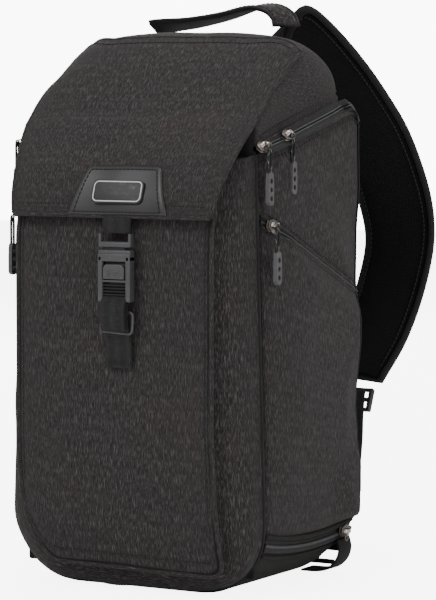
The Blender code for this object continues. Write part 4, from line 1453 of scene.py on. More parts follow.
@dataclass
class FrontPocket:
    """Front pocket: a piped front panel joined to the body by a folded gusset."""

    face: float = -85.5
    bottom: float = 17.0
    mouth: float = 302.0
    right_edge: Marks = ((17, 85.0), (35, 83.0), (75, 80.0), (120, 78.0))
    left_edge: Marks = ((17, 78.0), (120, 80.0))
    flap_line: Marks = ((264, -89.2), (281, -85.3), (297, -77.1), (313, -65.4))

    def half(self, z: float, x: float) -> float:
        """Return how far the front panel reaches at a height, on the side where x lies."""
        return table(self.right_edge if x > 0 else self.left_edge, max(z, 17.0))

    def floor(self, x: float) -> float:
        """Return the height of the front panel's lower edge, which is rounder on the left."""
        wide, tall = (14.0, 8.0) if x > 0 else (32.0, 72.0)
        part = clamp((abs(x) - self.half(17.0, x) + wide) / wide)
        return self.bottom + 1.5 * ease(-x, -80, 40) + tall * (1 - math.sqrt(max(0.0, 1 - part ** 2.2)))

    def panel(self, across: float, along: float) -> Vector:
        """Return a point of the front panel, from the lower edge up."""
        t = 2 * across - 1
        t = 0.5 * t + 0.5 * math.sin(math.pi * t / 2)
        low = self.floor(t * self.half(17.0, t))
        z = low + (self.mouth - low) * along
        x = t * self.half(z, t)
        crown = 3.4 * (1 - t ** 4) * (1 - (1 - min(1.0, along * 6)) ** 2) * (1 - 0.45 * ease(z, 200, 276))
        sag = 3.2 * math.exp(-((z - 75) / 50) ** 2) * (1 - t ** 2)
        wave = ripple(Vector((x, 0, z)), 42, 2.4, 3.0) * ease(1 - abs(t), 0.0, 0.2)
        lean = 3.5 * ease(60 - z, 0, 42)
        y = self.face + 3.6 - crown - sag * 0.6 - wave + lean + 4.5 * ease(z, 245, 276)
        return Vector((x, max(y, table(self.flap_line, max(z, 264.0)) + 5.4 + 1.2 * ease(z, 262, 276)), z))

    def rim(self, count: int) -> list[Vector]:
        """Return the front panel's edge, from the upper right round the bottom to the upper left."""
        line = [self.panel(1.0, 1 - i / 60) for i in range(60)]
        line += [self.panel(1 - i / 80, 0.0) for i in range(81)]
        line += [self.panel(0.0, i / 60) for i in range(1, 61)]
        return even_path(line, count)

    def seam(self, count: int) -> list[Vector]:
        """Return the body's front seam, in step with the panel's edge."""
        marks = self.rim(count)
        stops = [0, next(i for i, p in enumerate(marks) if p.z < 66), next(i for i, p in enumerate(marks) if p.x < 46),
                 next(i for i, p in enumerate(marks) if p.x < -46)]
        stops += [next(i for i in range(stops[3], count) if marks[i].z > 66), count - 1]
        upper = [Vector((FORM.seam(z), FORM.front, z)) for z in (306, 250, 190, 130, 66)]
        corner = [Vector((FORM.seam(z), FORM.front, z + 1.2)) for z in (64.8, 45, 36, 28, 21, 15, 10, 6, 3, 1, 0)]
        corner.append(Vector((46, FORM.front, 1.2)))
        runs = [upper, corner, [corner[-1], corner[-1] * 1.0], corner, upper]
        runs[2][1].x = -46
        for k in (3, 4):
            runs[k] = [Vector((-p.x, p.y, p.z)) for p in reversed(runs[k])]
        made = []
        for k, run in enumerate(runs):
            made += even_path(run, stops[k + 1] - stops[k] + 1)[:-1]
        return made + [runs[4][-1]]

    def build(self) -> None:
        """Build the panel, its gusset, piping and stitching."""
        front = Piece("pocket_panel")
        front.lay(self.panel, HEATHER, (168, 258), (56, 72), outward=Vector((0, -1, 0)))
        area = front.area()
        declare_sheet(front.finish_as("root", ["front_pocket"], skin=2.2), 168, self.mouth - self.bottom, area)
        self.gusset()
        self.trim()

    def gusset(self) -> None:
        """Build the gusset, folded in along its middle."""
        count = 241
        inner, outer = self.rim(count), self.seam(count)
        depth = 14

        def place(u: float, v: float) -> Vector:
            """Return a point from the panel's edge, at 0, back to the body's seam, at 1."""
            i = round(v * (count - 1))
            near, far = inner[i], outer[i]
            spot = near.lerp(far, u)
            upper = ease(near.z, 30, 120)
            middle = Vector((0, 0, 150))
            out = Vector((spot.x, 0, (spot.z - 66) * (1 - upper))).normalized()
            fold = math.exp(-((u - 0.17) / 0.13) ** 2) * (7.0 + 1.0 * (1 - upper))
            puff = math.sin(math.pi * ease(u, 0.22, 1.0)) * (5.2 - 1.6 * upper)
            wave = ripple(spot + middle, 26, 2.0, 8.0) * math.sin(math.pi * u)
            return spot + out * (puff - fold + wave)

        made = Piece("pocket_gusset")
        made.lay(place, HEATHER, (38, 640), (depth, count - 1))
        bmesh.ops.recalc_face_normals(made.mesh, faces=made.mesh.faces)
        low = min(made.mesh.faces, key=lambda f: f.calc_center_median().z)
        if low.normal.z > 0:
            bmesh.ops.reverse_faces(made.mesh, faces=made.mesh.faces)
        # The three columns nearest the panel's edge, along the fold's crease, take the black nylon: painted shade in
        # the crease.
        for face in made.mesh.faces:
            if face.index % depth in (0, 1, 2):
                face.material_index = 1
        made.finishes.append(NYLON)
        made.finish_as("root", skin=1.6)

    def trim(self) -> None:
        """Build the piping round the panel, the body seam's piping and the stitch lines beside them."""
        made = Piece("pocket_piping")
        rim = self.rim(200)
        made.sweep([p + Vector((0, 0.6, 0)) for p in rim], circle(1.5, 8), HEATHER,
                   up=steady(0, -1, 0))
        made.finish_as("root")
        sewn = Piece("pocket_stitching")
        for across in (0.055, 0.945):
            line = [self.panel(across, 0.10 + 0.86 * i / 60) for i in range(61)]
            sewn.stitches(line, THREAD, steady(0, -1, 0))
        sewn.stitches([self.panel(0.08 + 0.84 * i / 60, 0.035) for i in range(61)], THREAD,
                      steady(0, -1, 0))
        sewn.finish_as("root")
        seam = Piece("front_seam_piping")
        line = even_path(self.seam(200), 200)
        seam.sweep([p + Vector((0, 0.6, 0)) for p in line], circle(1.2, 8), BINDING,
                   up=steady(0, -1, 0))
        seam.finish_as("root")


@dataclass
class Slider:
    """A zip slider with a lever arm that carries its pull."""

    name: str
    body: str
    centre: Vector
    along: Vector
    out: Vector
    joint: Vector
    long: float = 12.0
    wide: float = 9.8

    def build(self) -> None:
        """Build the slider's two plates, bridge, arm and eye."""
        made = Piece(self.name)
        turn = facing(self.out, self.along, self.centre)
        half, low = self.wide / 2, self.long / 2
        outline = [(-half * 0.5, -low), (half * 0.5, -low), (half, -low * 0.1), (half * 0.96, low * 0.55),
                   (half * 0.45, low), (-half * 0.45, low), (-half * 0.96, low * 0.55), (-half, -low * 0.1)]
        made.plate(outline, 1.5, NICKEL, turn @ Matrix.Translation((0, 0, 0.9)), 0.4)
        made.plate([(x * 0.9, y * 0.9) for x, y in outline], 0.9, NICKEL, turn @ Matrix.Translation((0, 0, -0.9)))
        arch = smooth_path([(0, -3.6, 2.0), (0, -2.8, 4.0), (0, 0, 4.7), (0, 3.0, 4.1), (0, 4.0, 2.0)], 4)
        # The bridge takes the brighter nickel copy: painted highlight.
        made.sweep([turn @ p for p in arch], rounded_rectangle(3.0, 1.2, 0.4, 2), NICKEL_HIGHLIGHT,
                   up=lambda _, __: self.out)
        self.arm(made, turn)
        made.finish_as(self.body, [self.name.replace("tab_", "slider_")])

    def arm(self, made: Piece, turn: Matrix) -> None:
        """Add the lever that reaches from the bridge to the pull's fold line."""
        start = turn @ Vector((0, 0.6, 3.4))
        stop = self.joint + Vector((0, 0, 1.0))
        middle = start.lerp(stop, 0.5) + Vector((0, 0, 1.3))
        path = smooth_path([start, middle, stop], 5)
        # The arm takes the brighter nickel copy: painted highlight.
        made.sweep(path, rounded_rectangle(3.6, 1.2, 0.5, 2), NICKEL_HIGHLIGHT, up=steady(0, 0, 1),
                   swell=lambda v: 1.15 - 0.35 * v)
        ring = [self.joint + Vector((0, 2.0 * math.cos(a), 2.0 * math.sin(a) - 0.4))
                for a in (2 * math.pi * i / 16 for i in range(16))]
        made.sweep(ring, circle(0.65, 6), NICKEL, up=steady(1, 0, 0), loop=True)


@dataclass
class Pull:
    """A cord loop with a perforated rubber grip, hung from a slider."""

    tail: str
    joint: Vector
    drop: float = 18.0
    grip_long: float = 23.2
    grip_wide: float = 7.0
    grip_thick: float = 3.4

    def build(self) -> None:
        """Build the cord, then the grip."""
        body = f"pull_{self.tail}"
        cord = Piece(f"loop_{self.tail}")
        half, low = 1.75, self.drop + 2.0
        line = [(half * math.cos(a), (-2.2 if math.sin(a) >= 0 else -low) + half * math.sin(a))
                for a in (2 * math.pi * (i + 0.5) / 24 for i in range(24))]
        cord.sweep([self.joint + Vector((0, y, z)) for y, z in line], circle(0.92, 8), CORD,
                   up=steady(1, 0, 0), loop=True)
        cord.finish_as(body, [f"cord_{self.tail}"])
        self.grip(body)

    def grip(self, body: str) -> None:
        """Build the grip: a rounded plate with three holes and a waisted neck."""
        made = Piece(f"handgrip_{self.tail}")
        top, low = -self.drop - 0.6, -self.drop - self.grip_long
        half = self.grip_wide / 2
        outline = [(-half * 0.62, top), (-half * 0.80, top - 1.4), (-half * 0.92, top - 4.5), (-half, top - 9),
                   (-half, low + 2.4), (-half * 0.70, low + 0.6), (-half * 0.25, low), (half * 0.25, low),
                   (half * 0.70, low + 0.6), (half, low + 2.4), (half, top - 9), (half * 0.92, top - 4.5),
                   (half * 0.80, top - 1.4), (half * 0.62, top)]
        rim = [made.mesh.verts.new((x, y, 0)) for x, y in outline]
        edges = [made.mesh.edges.new((a, b)) for a, b in zip(rim, [*rim[1:], rim[0]])]
        for i in range(3):
            centre = Matrix.Translation((0, low + 4.9 + 6.0 * i, 0))
            hole = bmesh.ops.create_circle(made.mesh, cap_ends=False, segments=14, radius=1.75, matrix=centre)["verts"]
            edges += list({e for v in hole for e in v.link_edges})
        base = bmesh.ops.triangle_fill(made.mesh, use_beauty=True, use_dissolve=False, edges=edges,
                                       normal=(0, 0, 1))["geom"]
        faces = [item for item in base if isinstance(item, bmesh.types.BMFace)]
        swept = bmesh.ops.extrude_face_region(made.mesh, geom=faces)
        bmesh.ops.translate(made.mesh, vec=(0, 0, self.grip_thick),
                            verts=[v for v in swept["geom"] if isinstance(v, bmesh.types.BMVert)])
        bmesh.ops.recalc_face_normals(made.mesh, faces=made.mesh.faces)
        rims = [e for e in made.mesh.edges if len(e.link_faces) == 2 and e.calc_face_angle(0) > 1.2
                and abs(e.verts[0].co.z - e.verts[1].co.z) < 1e-6]
        bmesh.ops.bevel(made.mesh, geom=rims, offset=0.45, segments=2, affect="EDGES", profile=0.5, material=-1,
                        clamp_overlap=True)
        made.tint(made.mesh.faces, RUBBER)
        for face in made.mesh.faces:
            face.smooth = False
        turn = Matrix(((0, 0, 1), (1, 0, 0), (0, 1, 0))).to_4x4()
        turn.translation = self.joint - Vector((self.grip_thick / 2, 0, 0))
        bmesh.ops.transform(made.mesh, matrix=turn, verts=made.mesh.verts)
        made.finish_as(body, [f"grip_{self.tail}"])


@dataclass
class SideAccess:
    """One side of the bag: padded door, its zip, the slanted pocket and their pulls."""

    side: Side
    front: float = -47.2
    rear: float = 84.0
    corner: float = 17.0
    recess: float = 3.0
    inner: float = 96.4
    tape: float = 6.8
    slider_a: float = -44.0
    slider_b: float = -14.0
    slider_c: float = -38.0
    pull_ys: tuple[float, float, float] = (-46.2, -13.0, -45.0)

    @property
    def sign(self) -> int:
        """Return 1 on the right and -1 on the left."""
        return self.side.value

    @property
    def door(self) -> str:
        """Return the name of the door's body."""
        return f"door_{self.side.word}"

    def skin(self, y: float, z: float, off: float = 0.0) -> Vector:
        """Return a point over the side's surface."""
        return Vector((self.sign * (FORM.side(y, z) + off), y, z))

    def out(self, _spot: Vector) -> Vector:
        """Return the direction away from this side."""
        return Vector((self.sign, 0, 0))

    def top(self, y: float) -> float:
        """Return the height of the door's upper edge, round its rear corner."""
        reach = clamp((y - (self.rear - self.corner)) / self.corner)
        return FORM.zip_line(y) - 5.0 - self.corner * (1 - math.sqrt(max(0.0, 1 - reach * reach * 0.995)))

    @staticmethod
    def slit(y: float) -> float:
        """Return how far the pocket's zip lies open, above and below its line."""
        return 3.2 - 2.3 * ease(y, -38, 0)

    @staticmethod
    def low(y: float) -> float:
        """Return the height of the door's lower edge."""
        return 37.5 + (5.0 * ((20 - y) / 70) ** 2 if y < 20 else 3.5 * ((y - 20) / 60) ** 2)

    def build(self) -> None:
        """Build this side from the door to the pulls."""
        self.panel()
        self.pocket()
        self.zips()
        self.hardware()
        self.gusset()

    def panel(self) -> None:
        """Build the padded door: bulged outside, flat lining inside, closed all round."""
        made = Piece(f"door_pad_{self.side.word}")
        cells = (92, 64)

        def place(u: float, v: float) -> Vector:
            """Return a point round the door's section at a height."""
            outer = u <= 0.5
            part = u * 2 if outer else 2 - u * 2
            y = self.front + (self.rear - self.front) * part
            z = self.low(y) + (self.top(y) - self.low(y)) * v
            if not outer:
                return Vector((self.sign * min(self.inner, FORM.side(y, z) - 4.5), y, z))
            edge = min(part, 1 - part, v, 1 - v)
            soft = 1.8 * (1 - ease(edge, 0.0, 0.035))
            step = self.recess * (1 - ease(z - FORM.pocket_line(y), self.slit(y) - 3.0, self.slit(y)))
            return self.skin(y, z, -0.3 - soft - step)

        made.lay(place, HEATHER, (250, 280), cells, closed=True, capped=True)
        for face in Piece.fresh(made.mesh.faces):
            if face.normal.x * self.sign < -0.9 and -44 < face.calc_center_median().y < 76:
                face.material_index = len(made.finishes)
        made.finishes.append(LINING)
        door = made.finish_as(self.door, [f"side_door_{self.side.word}"])
        trim = Piece(f"door_trim_{self.side.word}")
        ys = [self.front + 1.5 + (self.rear - self.front - 3.0) * i / 50 for i in range(51)]
        trim.sweep([self.skin(y, self.top(y) - 0.8, -1.2) for y in ys], circle(1.6, 8), HEATHER, up=self.up_out())
        trim.stitches([self.skin(y, self.top(y) - 6.0, -0.1) for y in ys], THREAD, self.out)
        trim.stitches([self.skin(y, FORM.pocket_line(y) + self.slit(y) + 3.6, -0.1) for y in ys], THREAD, self.out)
        trim.sweep([self.skin(y, FORM.pocket_line(y) + self.slit(y) + 0.9, -1.0) for y in ys], circle(1.1, 8), HEATHER,
                   up=self.up_out())
        trim.finish_as(self.door)

    def up_out(self) -> Callable[[int, Vector], Vector]:
        """Return a sweep's up direction: away from this side."""
        return lambda _, __: Vector((self.sign, 0, 0))

    def pocket(self) -> None:
        """Build the side pocket's panel, its turned edge and its stitching."""
        made = Piece(f"pocket_side_{self.side.word}")

        def place(u: float, v: float) -> Vector:
            """Return a point of the pocket's panel."""
            y = self.front + 0.5 + (self.rear - self.front - 1.0) * u
            z = self.low(y) + 0.6 + (FORM.pocket_line(y) - self.slit(y) - self.low(y) - 0.6) * v
            loose = 1.0 * math.sin(math.pi * v) * ease(y, -46, -20)
            soft = 1.6 * (1 - ease(min(u, 1 - u, v * 1.2), 0.0, 0.04))
            return self.skin(y, z, 0.2 + loose * 0.6 - soft)

        made.lay(place, HEATHER, (124, 185), (44, 52), outward=Vector((self.sign, 0, 0)))
        area = made.area()
        declare_sheet(made.finish_as(self.door, [f"side_pocket_{self.side.word}"], skin=1.5), 131, 224, area)
        trim = Piece(f"pocket_trim_{self.side.word}")
        ys = [self.front + 1.5 + (self.rear - self.front - 3.0) * i / 50 for i in range(51)]
        trim.sweep([self.skin(y, FORM.pocket_line(y) - self.slit(y) - 0.6, -0.6) for y in ys], circle(1.2, 8), HEATHER,
                   up=self.up_out())
        trim.stitches([self.skin(y, FORM.pocket_line(y) - self.slit(y) - 3.4, 0.2) for y in ys], THREAD, self.out)
        trim.finish_as(self.door)

    def zip_path(self, off: float) -> tuple[list[Vector], list[Vector]]:
        """Work out the main zip's course along the top and down the rear edge.

        Args:
            off: Shift away from the door, in the zip's own plane.

        Returns:
            The points, and the direction away from the zip at each.
        """
        corner_y, radius = self.rear - self.corner + 0.6, self.corner + 0.2
        spots, outs = [], []
        for y in (self.front + 0.5 + (corner_y - self.front) * i / 40 for i in range(41)):
            z = FORM.zip_line(y) - 2.1
            tilt = Vector((self.sign * 0.62, 0, 0.78))
            across = Vector((-self.sign * 0.78, 0, 0.62))
            base = Vector((self.sign * (0.5 * (FORM.side(y, z - 3) + FORM.hood_half(y)) + 0.6), y, z))
            spots.append(base + across * off)
            outs.append(tilt)
        start = FORM.zip_line(corner_y) - radius
        steps = [(corner_y + radius * math.sin(a), start + radius * math.cos(a), a)
                 for a in (math.pi / 2 * i / 12 for i in range(1, 13))]
        steps += [(corner_y + radius, start - (start - 60) * i / 40, math.pi / 2) for i in range(1, 41)]
        for y, z, angle in steps:
            away = Vector((0, math.sin(angle), math.cos(angle)))
            tilt = (Vector((self.sign, 0, 0)) * (0.62 + 0.1 * math.sin(angle)) + away * 0.7).normalized()
            across = (away - tilt * away.dot(tilt)).normalized()
            base = Vector((self.sign * (FORM.side(min(y, self.rear), z) - 1.4 - 2.6 * math.sin(angle)), y, z))
            spots.append(base + across * off)
            outs.append(tilt)
        return spots, outs

    def zips(self) -> None:
        """Build the tapes and coils of the door's zip and of the pocket's zip."""
        word = self.side.word
        for name, body, off, replaced in ((f"tape_door_{word}", self.door, -self.tape / 2, [f"door_zip_{word}"]),
                                          (f"tape_body_{word}", "root", self.tape / 2, [])):
            made = Piece(name)
            spots, outs = self.zip_path(off)
            made.sweep(spots, rounded_rectangle(self.tape - 0.3, 0.9, 0.4, 1), TAPE, up=lambda i, _, o=outs: o[i])
            self.coil(made, *self.zip_path(math.copysign(1.15, off)))
            made.finish_as(body, replaced)
        made = Piece(f"tape_pocket_{word}")
        line = [self.skin(y, FORM.pocket_line(y), -1.6)
                for y in (self.front + 1.5 + (self.rear - self.front - 3.0) * i / 60 for i in range(61))]
        away = [self.out(line[0])] * len(line)
        made.sweep(line, rounded_rectangle(4.6, 0.8, 0.3, 1), TAPE, up=self.up_out())
        self.coil(made, [p + away[0] * 0.3 for p in line], away, 0.7)
        made.finish_as(self.door, [f"pocket_zip_{word}"])

    @staticmethod
    def coil(made: Piece, spots: Sequence[Vector], outs: Sequence[Vector], radius: float = 0.85) -> None:
        """Add a ribbed coil along a course.

        Args:
            made: The piece it goes into.
            spots: The course's points.
            outs: The direction away from the cloth at each point.
            radius: The coil's mean radius.
        """
        length = sum((b - a).length for a, b in zip(spots, spots[1:]))
        count = int(length / 0.5)
        line = even_path(spots, count)
        ups = even_path([Vector(o) * 1.0 for o in outs], count) if outs[0] != outs[-1] else [outs[0]] * count
        made.sweep([p + u * 0.5 for p, u in zip(line, ups)], circle(radius, 6), COIL, up=lambda i, _: ups[i],
                   swell=lambda v: 0.86 + 0.24 * (round(v * (count - 1)) % 4 < 2))

    def hardware(self) -> None:
        """Build the sliders and pulls of both zips on the door."""
        word = self.side.word
        lift = math.atan(FORM.zip_slope)
        along = Vector((0, math.cos(lift), math.sin(lift)))
        spots, _ = self.zip_path(0.0)
        tilt = Vector((self.sign * 0.62, -0.15, 0.78)).normalized()
        for letter, y, hang in (("a", self.slider_a, self.pull_ys[0]), ("b", self.slider_b, self.pull_ys[1])):
            near = min(spots, key=lambda p: abs(p.y - y))
            joint = self.fold_line(f"cord_{word}_{letter}", hang)
            centre = Vector((near.x, y, near.z + (y - near.y) * FORM.zip_slope)) + tilt * 0.9
            Slider(f"tab_{word}_{letter}", f"zip_{word}_{letter}", centre, along, tilt, joint).build()
            Pull(f"{word}_{letter}", joint).build()
        lift = math.atan(FORM.pocket_slope)
        along = Vector((0, math.cos(lift), math.sin(lift)))
        y, z = self.slider_c, FORM.pocket_line(self.slider_c)
        joint = self.fold_line(f"cord_{word}_c", self.pull_ys[2])
        Slider(f"tab_{word}_c", f"zip_{word}_c", self.skin(y, z, 0.3), along, self.out(joint), joint).build()
        Pull(f"{word}_c", joint).build()

    @staticmethod
    def fold_line(cord: str, y: float) -> Vector:
        """Return the point that a pull folds about, over its cord in the frame."""
        low, high = (Vector(c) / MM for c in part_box(cord))
        return Vector(((low.x + high.x) / 2, y, high.z + 0.3))

    def gusset(self) -> None:
        """Build the narrow strip between the door's rear edge and the back panel, with its seam."""
        made = Piece(f"rear_strip_{self.side.word}")

        def place(u: float, v: float) -> Vector:
            """Return a point of the strip, from the zip round to the back panel's edge."""
            z = 26 + (FORM.zip_line(80) - 14 - 26) * v
            half = FORM.side(84, z)
            inner = Back.half(z) - 1.5
            bend = cubic([(half - 4.4, 85.8), (half - 3.6, 88.4), (half - 6.0, 89.8), (inner, 87.0)], 13)
            return Vector((self.sign * bend[round(u * 12)].x, bend[round(u * 12)].y, z))

        made.lay(place, HEATHER, (20, 300), (12, 60), outward=Vector((self.sign, 0.4, 0)))
        made.finish_as("root", skin=1.4)
        seam = Piece(f"rear_seam_{self.side.word}")
        seam.sweep([place(1.0, i / 60) + Vector((0, 0.6, 0)) for i in range(61)], circle(1.6, 8), BINDING,
                   up=self.up_out())
        seam.stitches([place(0.5, i / 60) + Vector((0, 0.3, 0)) for i in range(61)], THREAD, steady(0, 1, 0))
        seam.finish_as("root")


@dataclass
class Base:
    """Base: a rounded shell under the body, its two zips, the floor pad and the webbing loop."""

    front: float = -49.0
    rear: float = 85.0

    def outline(self, y: float, count: int, high: float = 46.0) -> list[Vector]:
        """Return one cross section of the shell, from right to left.

        Args:
            y: Where the section is.
            count: How many points it has.
            high: Height of both ends.

        Returns:
            Its points, evenly spaced.
        """
        arc = []
        for i in range(25):
            z = high * (1 - i / 24) ** 2
            arc.append(Vector((FORM.seam(z), y, z)))
        arc[-1].z = 0.0
        line = arc + [Vector((-p.x, p.y, p.z)) for p in reversed(arc)]
        made = even_path(line, count)
        for spot in made:
            lift = 12.0 * ease(y, 56, 88) * ease(abs(spot.x), 52, 101) * (1 - spot.z / 60)
            spot.z += lift + 0.2
        return made

    def build(self) -> None:
        """Build the shell, pad, zips, seams and loop."""
        count, rows = 90, 30
        lines = [self.outline(self.front + (self.rear - self.front) * j / rows, count + 1) for j in range(rows + 1)]
        shell = Piece("base_shell")
        # The shell takes the darker heather copy: painted shade on the base.
        shell.lay(lambda u, v: lines[round(v * rows)][round(u * count)], HEATHER_SHADED, (270, 134), (count, rows),
                  outward=Vector((0, 0, -1)))
        shell.finish_as("root", ["base_panel", "side_band_right", "side_band_left"], skin=3.0)
        pad = Piece("floor_pad")
        pad.block((-66, -41, 5.0), (66, 74, 11.8), LINING, 3.0, 3)
        for side in (1, -1):
            low, high = sorted((side * 77, side * 87))
            pad.block((low, -41, 22), (high, 74, 45), LINING, 4.5, 3)
        pad.finish_as("root")
        for side in Side:
            self.zip(side)
        self.loop()

    def zip(self, side: Side) -> None:
        """Build one side's seam, zip and slider."""
        sign = side.value
        made = Piece(f"tape_base_{side.word}")
        ys = [self.front + 1 + (self.rear - self.front - 6) * i / 60 for i in range(61)]

        def spot(y: float, z: float, off: float) -> Vector:
            """Return a point over the band."""
            dip = 8.0 * ((28 - y) / 78) ** 2 if y < 28 else 3.0 * ((y - 28) / 45) ** 2
            return Vector((sign * (FORM.seam(z + dip) + off), y, z + dip))

        line = [spot(y, 29, 0.5) for y in ys]
        made.sweep(line, rounded_rectangle(9.0, 0.9, 0.4, 1), TAPE, up=lambda _, __: Vector((sign, 0, 0)))
        outs = [Vector((sign, 0, 0))] * len(line)
        SideAccess.coil(made, [p + outs[0] * 0.4 for p in line], outs, 1.45)
        made.finish_as("root", [f"base_zip_{side.word}"])
        seam = Piece(f"base_seam_{side.word}")
        for height, radius in ((35.2, 1.7), (21.5, 1.3)):
            # The seams take the darker heather copy: painted shade on the base.
            seam.sweep([spot(y, height, 0.6) for y in ys], circle(radius, 8), HEATHER_SHADED,
                       up=lambda _, __: Vector((sign, 0, 0)))
        seam.finish_as("root")
        centre = Vector((sign * 102.4, 66.0, 32.6))
        Slider(f"tab_{side.word}_d", f"zip_{side.word}_d", centre, Vector((0, 1, 0)), Vector((sign, 0, 0)),
               centre + Vector((sign * 4.4, -3.6, -4.0))).build()

    @staticmethod
    def loop() -> None:
        """Build the webbing loop under the right rear corner."""
        made = Piece("corner_loop")
        path = smooth_path([(71.8, 68, 2.6), (84.0, 68, 2.9), (93.2, 68, 5.2), (99.9, 68, 11.4), (102.6, 68, 19.0),
                            (101.2, 68, 26.4)], 6)
        made.sweep(path, rounded_rectangle(19.5, 1.6, 0.7, 2), NYLON,
                   up=lambda _, along: Vector((along.z, 0, -along.x)))
        made.finish_as("root", ["base_loop"], slot=Slot.WEBBING)


def inflate(made: bpy.types.Object, voxel: float, cap: float, pressure: float = 4.0) -> None:
    """Swell a closed pad by cloth simulation and keep the result in its mesh.

    Args:
        made: The pad, a little smaller than it ends up.
        voxel: Remesh size in millimetres.
        cap: Greatest move of any point in millimetres.
        pressure: Pressure inside the pad.
    """
    remesh = made.modifiers.new("even", "REMESH")
    remesh.mode, remesh.voxel_size, remesh.use_smooth_shade = "VOXEL", voxel * MM, True
    settle(made)
    rest = [vert.co.copy() for vert in made.data.vertices]
    swell = made.modifiers.new("swell", "CLOTH")
    swell.settings.use_pressure = True
    swell.settings.uniform_pressure_force = pressure
    swell.settings.effector_weights.gravity = 0.0
    swell.settings.tension_stiffness = swell.settings.compression_stiffness = 40.0
    scene = bpy.context.scene
    for step in range(1, 21):
        scene.frame_set(step)
    settle(made)
    for vert, home in zip(made.data.vertices, rest):
        move = vert.co - home
        if move.length > cap * MM:
            vert.co = home + move.normalized() * cap * MM
    scene.frame_set(1)
    smooth = made.modifiers.new("smooth", "SUBSURF")
    smooth.levels = smooth.render_levels = 1
    settle(made)


def padded_block(name: str, low: Sequence[float], high: Sequence[float], finish: Finish, body: str,
                 replaced: Sequence[str] = (), voxel: float = 4.0, cap: float = 2.5,
                 shape: Callable[[Vector], Vector] = lambda spot: spot) -> bpy.types.Object:
    """Build a stuffed pad from a rounded block.

    Args:
        name: The pad's name.
        low: Lowest corner of its starting block.
        high: Highest corner of its starting block.
        finish: Its finish.
        body: The body it rides.
        replaced: The frame's nodes it stands for.
        voxel: Remesh size.
        cap: Greatest swelling.
        shape: Moves the finished pad's points, as where it follows a curved panel.

    Returns:
        The finished pad.
    """
    start = Piece(f"{name}_core")
    start.block(low, high, finish, min(b - a for a, b in zip(low, high)) * 0.42, 3)
    bmesh.ops.scale(start.mesh, vec=(MM, MM, MM), verts=start.mesh.verts)
    data = bpy.data.meshes.new(f"{name}_core")
    start.mesh.to_mesh(data)
    start.mesh.free()
    core = bpy.data.objects.new(f"{name}_core", data)
    bpy.context.scene.collection.objects.link(core)
    inflate(core, voxel, cap)
    pad = Piece(name)
    pad.mesh.from_mesh(core.data)
    pad.cloth = pad.mesh.loops.layers.uv.get("cloth") or pad.mesh.loops.layers.uv.new("cloth")
    bmesh.ops.scale(pad.mesh, vec=(1 / MM, 1 / MM, 1 / MM), verts=pad.mesh.verts)
    for vert in pad.mesh.verts:
        vert.co = shape(vert.co)
    pad.tint(pad.mesh.faces, finish)
    pad.wrap(pad.mesh.faces)
    bpy.data.objects.remove(core, do_unlink=True)
    made = pad.finish_as(body, replaced)
    return made


@dataclass
class Interior:
    """What the open doors show: front wall, padded dividers and their edging."""

    def build(self) -> None:
        """Build the wall and the two dividers."""
        wall = Piece("front_wall_pad")
        wall.block((-93.2, -50.0, 12.6), (93.2, -42.4, 309.0), NYLON, 1.6, 3)
        for face in Piece.fresh(wall.mesh.faces):
            if face.normal.y > 0.5:
                face.material_index = 1
        wall.finishes.append(LINING)
        wall.finish_as("root", ["front_wall"])
        brow = Piece("front_wall_brow")
        brow.lay(lambda u, v: Vector(((2 * u - 1) * 92.0, -50.4 + 1.6 * v, 300 + 27 * v)), NYLON, (184, 30), (30, 6),
                 outward=Vector((0, -1, 0)))
        for side in (-1, 1):
            brow.sweep([Vector((side * (66 + 28.5 * i / 10), -51.2, 303.6 - 0.5 * i / 10)) for i in range(11)],
                       circle(1.3, 8), BINDING)
        brow.finish_as("root", skin=1.0)
        for name, middle in (("lower", 140.0), ("upper", 236.0)):
            padded_block(f"divider_pad_{name}", (-86.5, -39.0, middle - 3.0), (86.5, 75.2, middle + 3.0), FOAM, "root",
                         [f"divider_{name}"], voxel=4.0, cap=1.6)


@dataclass
class Back:
    """Back panel with two swelled mesh pads and piped edges."""

    low: float = 6.0
    high: float = 344.0

    @staticmethod
    def half(z: float) -> float:
        """Return half the back panel's width."""
        return min(FORM.side(77, z) - 8.5, 95.6) - 12 * ease(z, 318, 346) - 12 * ease(40 - z, 0, 40)

    def build(self) -> None:
        """Build the panel, pads and piping."""
        panel = Piece("back_shell")

        def place(u: float, v: float) -> Vector:
            """Return a point round the panel's section at a height."""
            z = self.low + (self.high - self.low) * v
            outer = u <= 0.5
            part = u * 2 if outer else 2 - u * 2
            x = (2 * part - 1) * self.half(z)
            if not outer:
                return Vector((x, 78.6, z))
            puff = 2.2 * math.sin(math.pi * clamp(part)) ** 0.5 * math.sin(math.pi * v) ** 0.4
            return Vector((x, 84.6 + puff + ripple(Vector((x, 0, z)), 45, 0.8, 5.0), z))

        panel.lay(place, MESH, (380, 338), (72, 60), closed=True, capped=True)
        for face in Piece.fresh(panel.mesh.faces):
            if face.normal.y < -0.5:
                face.material_index = 1
        panel.finishes.append(LINING)
        panel.finish_as("root", ["back_panel"])
        for name, low, high in (("upper", (-70, 86.5, 190), (-14, 92.5, 320)),
                                ("lower", (-78, 86.5, 48), (78, 93.5, 150)),
                                ("right", (14, 86.5, 190), (70, 92.5, 320))):
            padded_block(f"back_cushion_{name}", low, high, MESH, "root", voxel=4.0, cap=3.5)
        trim = Piece("back_piping")
        count = 60
        for side in (-1, 1):
            line = [Vector((side * self.half(self.low + (self.high - self.low) * i / count), 85.6,
                            self.low + (self.high - self.low) * i / count)) for i in range(count + 1)]
            trim.sweep(line, circle(1.9, 8), BINDING, up=steady(0, 1, 0))
        trim.sweep([Vector((-84 + 168 * i / 40, 85.8, 5.5)) for i in range(41)], circle(1.9, 8), BINDING)
        trim.finish_as("root")


